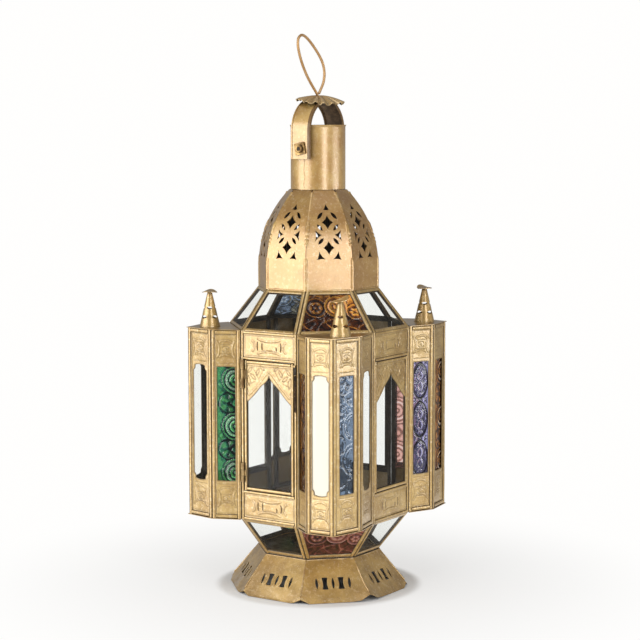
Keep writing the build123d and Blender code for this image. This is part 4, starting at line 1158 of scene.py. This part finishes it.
def finial_discs():
    """Curled tin discs on the cones: each bent into its own saddle and tipped a little."""
    parts = []
    for index, (middle, half) in enumerate(boxes_of("finial_discs")):
        bend, tip = math.radians(DISC_BENDS[index][0]), DISC_BENDS[index][1]
        places = []
        for face in (0.0, -DISC_THICKNESS):
            places.append((*middle[:2], middle[2] + face * MM))
            for k, j in np.ndindex(DISC_RINGS, DISC_TURNS):
                turn = 2 * math.pi * j / DISC_TURNS
                rim = 1 + 0.05 * uneven(math.cos(turn), math.sin(turn), index)
                radius = half[0] / MM * (k + 1) / DISC_RINGS * min(1, rim)
                x, y = radius * math.cos(turn), radius * math.sin(turn)
                u = x * math.cos(bend) + y * math.sin(bend)
                v = -x * math.sin(bend) + y * math.cos(bend)
                level = 0.034 * u * abs(u) + 0.012 * u * u - 0.018 * v * v + tip * u + face
                places.append((middle[0] + x * MM, middle[1] + y * MM, middle[2] + level * MM))
        parts.append((places, round_sheet(DISC_RINGS, DISC_TURNS, 1)))
    paint = aged_gold("disc_paint", GOLD, GOLD_DEEP)
    add_piece("finial_curled_discs", *joined(parts), paint, "gold_sheet", "finial_discs", sharp=50)


FOOT_STEP = 0.0035
FLICK_REACH = 0.0937
FLICK_SPREAD = 0.013


def foot_skirt():
    """Flared foot: facets dented by hand, wavy at the rim, with one corner flicked out at the right."""
    low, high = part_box("foot_skirt")
    flick = outward(67.5) * FLICK_REACH

    def move(co):
        wave = noise.noise(co * 38.0) * 0.9 + noise.noise(co * 95.0 + Vector((3, 1, 2))) * 0.35
        share = 1 - (co.z - low.z) / (high.z - low.z)
        away = Vector((co.x, co.y, 0)).normalized()
        moved = co + (away * 0.6 + up(0.8)) * wave * MM * (0.25 + 0.75 * share)
        lifted = math.exp(-(((co - flick).length / FLICK_SPREAD) ** 2))
        moved += (away * 2.6 + up(3.6)) * lifted * MM
        moved.z = min(max(moved.z, 0.0002), high.z)
        return moved

    bm = solids_of("foot_skirt")[0]
    rim = max(abs(v.co.y) for v in bm.verts if high.z - v.co.z < 0.0005)
    for _ in range(9):
        long = [e for e in bm.edges if e.calc_length() > FOOT_STEP]
        if not long:
            break
        bmesh.ops.subdivide_edges(bm, edges=long, cuts=1)
        bmesh.ops.triangulate(bm, faces=bm.faces[:])
    places = [move(v.co) for v in bm.verts]
    bm.verts.index_update()
    faces = [tuple(v.index for v in f.verts) for f in bm.faces]
    bm.free()
    core = (0.0, 0.0, high.z - 0.01)
    paint = aged_gold("foot_paint", (0.60, 0.385, 0.115), (0.40, 0.235, 0.065), core, 0.6, 2.2)
    add_piece("foot_beaten_skirt", places, faces, paint, "gold_sheet", "foot_skirt")
    foot_seams(move, high, rim, core)


def foot_seams(move, high, rim, core):
    """Folded corners of the foot, the bead round its top and the solder that closes it to the funnel."""
    wide, narrow = (reach / math.cos(math.radians(CORNER)) for reach in (high.y, rim))
    seams = []
    for k in range(8):
        azimuth = CORNER + 45 * k
        foot, head = at(azimuth, wide, 0.001), at(azimuth, narrow, high.z - 0.001)
        path = [move(spot) - outward(azimuth) * 0.0002 for spot in straight(foot, head, 24)[4:]]
        seams.append(bead(path, 0.8, 0.3, (k * 3.0, 2), 0.25, 10))
        for inset, lift, radius, swing in ((0.0003, -0.0006, 0.75, 0.2), (0.0024, 0.0006, 1.5, 0.0)):
            ends = (at(azimuth + turn, narrow - inset, high.z + lift) for turn in (0, 45))
            seams.append(bead(straight(*ends, 16), radius, swing, (k * 2.0, 8), 0.4, 8))
    paint = aged_gold("foot_seam_paint", (0.56, 0.36, 0.14), GOLD_DEEP, core, 0.9)
    add_piece("foot_folded_seams", *joined(seams), paint, "gold_sheet", sharp=60)


NECK_SEAM_REACH = 0.0273


def dome_seams():
    """Folded seams where the dome's gores meet, the bead at its hem, and the rough seam up the neck."""
    vertices = np.array([v.co for v in nodes["dome_gores"].data.vertices])
    azimuths = np.degrees(np.arctan2(vertices[:, 0], -vertices[:, 1])) % 45
    corners = vertices[np.abs(azimuths - CORNER) < 1.0]
    reach = np.hypot(corners[:, 0], corners[:, 1])
    levels = np.unique(np.round(corners[:, 2], 4))
    edge = [(reach[np.abs(corners[:, 2] - z) < 2e-4].max(), z) for z in levels]
    edge = [edge[0], *(c for a, c in zip(edge, edge[1:]) if c[0] <= a[0] + 1e-5 and c[1] - a[1] > 1e-3)]
    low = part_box("dome_gores")[0]
    parts = []
    for k in range(8):
        azimuth = CORNER + 45 * k
        path = smooth_path([at(azimuth, r - 0.0021, z) for r, z in edge], 90)
        parts.append(bead(path, 2.62, 0.12, (k, 0), 0.16, 20))
        a, b = (at(azimuth + turn, edge[0][0] - 0.0004, low.z - 0.0002) for turn in (0, 45))
        parts.append(bead(straight(a, b, 20), 1.05, 0.14, (a.x * 90, 5), 0.3, 10))
    neck_low, neck_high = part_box("neck_tube")
    path = [at(4, NECK_SEAM_REACH, z) for z in np.linspace(neck_low.z + 0.002, neck_high.z - 0.003, 70)]
    path = [p + Vector((uneven(j * 0.12, 0, 9) * MM, 0, 0)) for j, p in enumerate(path)]
    parts.append(tube(path, [(0.35 + 0.3 * uneven(j * 0.35, 2, 0)) * MM for j in range(70)], 7))
    paint = aged_gold("seam_paint", WARM, WARM_DEEP, (0.0, 0.0, (low.z + neck_high.z) / 2), 0.6)
    add_piece("dome_and_neck_seams", *joined(parts), paint, "gold_sheet", sharp=60)


HINGE_SOLDER = ((0.116, 0.134), (0.209, 0.237))  # levels between which the solder at each hinge runs
HINGE_SIDE = -0.0319
LATCH_CLEARANCE = 0.0022


def solder_blobs():
    """Burnt solder where the latch and the hinges were mended: lumps run down the came beside them."""
    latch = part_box("latch_button")[0]
    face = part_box("front_frame")[0].y - 0.0002
    lumps = []
    for k in range(26):
        drop = 0.05 * k**1.15 * (1 + 0.3 * uneven(k * 1.7, 0, 0))
        side = latch.x + (1.7 + 1.2 * uneven(k * 0.9, 4, 0)) * MM
        spot = Vector((side, face, latch.z - LATCH_CLEARANCE))
        lumps.append((spot - up(drop * 0.0175), 1.1 + 0.8 * uneven(k * 2.3, 1, 0)))
    for foot, head in HINGE_SOLDER:
        for k in range(10):
            level = foot + (head - foot) * (k + 0.5) / 10
            lumps.append((Vector((HINGE_SIDE, face, level)), 0.7 + 0.4 * uneven(k * 1.3, level * 90, 5)))
    bm = bmesh.new()
    bmesh.ops.create_icosphere(bm, subdivisions=3, radius=1.0)
    bm.verts.index_update()
    ball = [v.co.copy() for v in bm.verts]
    faces = [tuple(v.index for v in f.verts) for f in bm.faces]
    bm.free()
    parts = []
    for index, (spot, size) in enumerate(lumps):
        places = []
        for co in ball:
            bulge = 1 + 0.35 * noise.noise(co * 1.6 + Vector((index * 3.1, 0, 0)))
            places.append(spot + Vector((co.x, 0.42 * co.y, 1.5 * co.z)) * bulge * max(size, 0.35) * MM)
        parts.append((places, faces))
    burnt = worn_metal("burnt_solder", (0.10, 0.055, 0.025), (0.018, 0.012, 0.008), 0.5)
    add_piece("burnt_solder_runs", *joined(parts), burnt, "worn_fittings", sharp=60)


make_camera()
make_studio()
glass = {"clear": clear_glass(), **{colour: pressed_glass(*row) for colour, row in GLASS.items()}}
paint_nodes()
came_frames()
stamped_sheets()
pressed_panes()
hanging_loop()
cap_rosette()
finial_discs()
foot_skirt()
dome_seams()
solder_blobs()
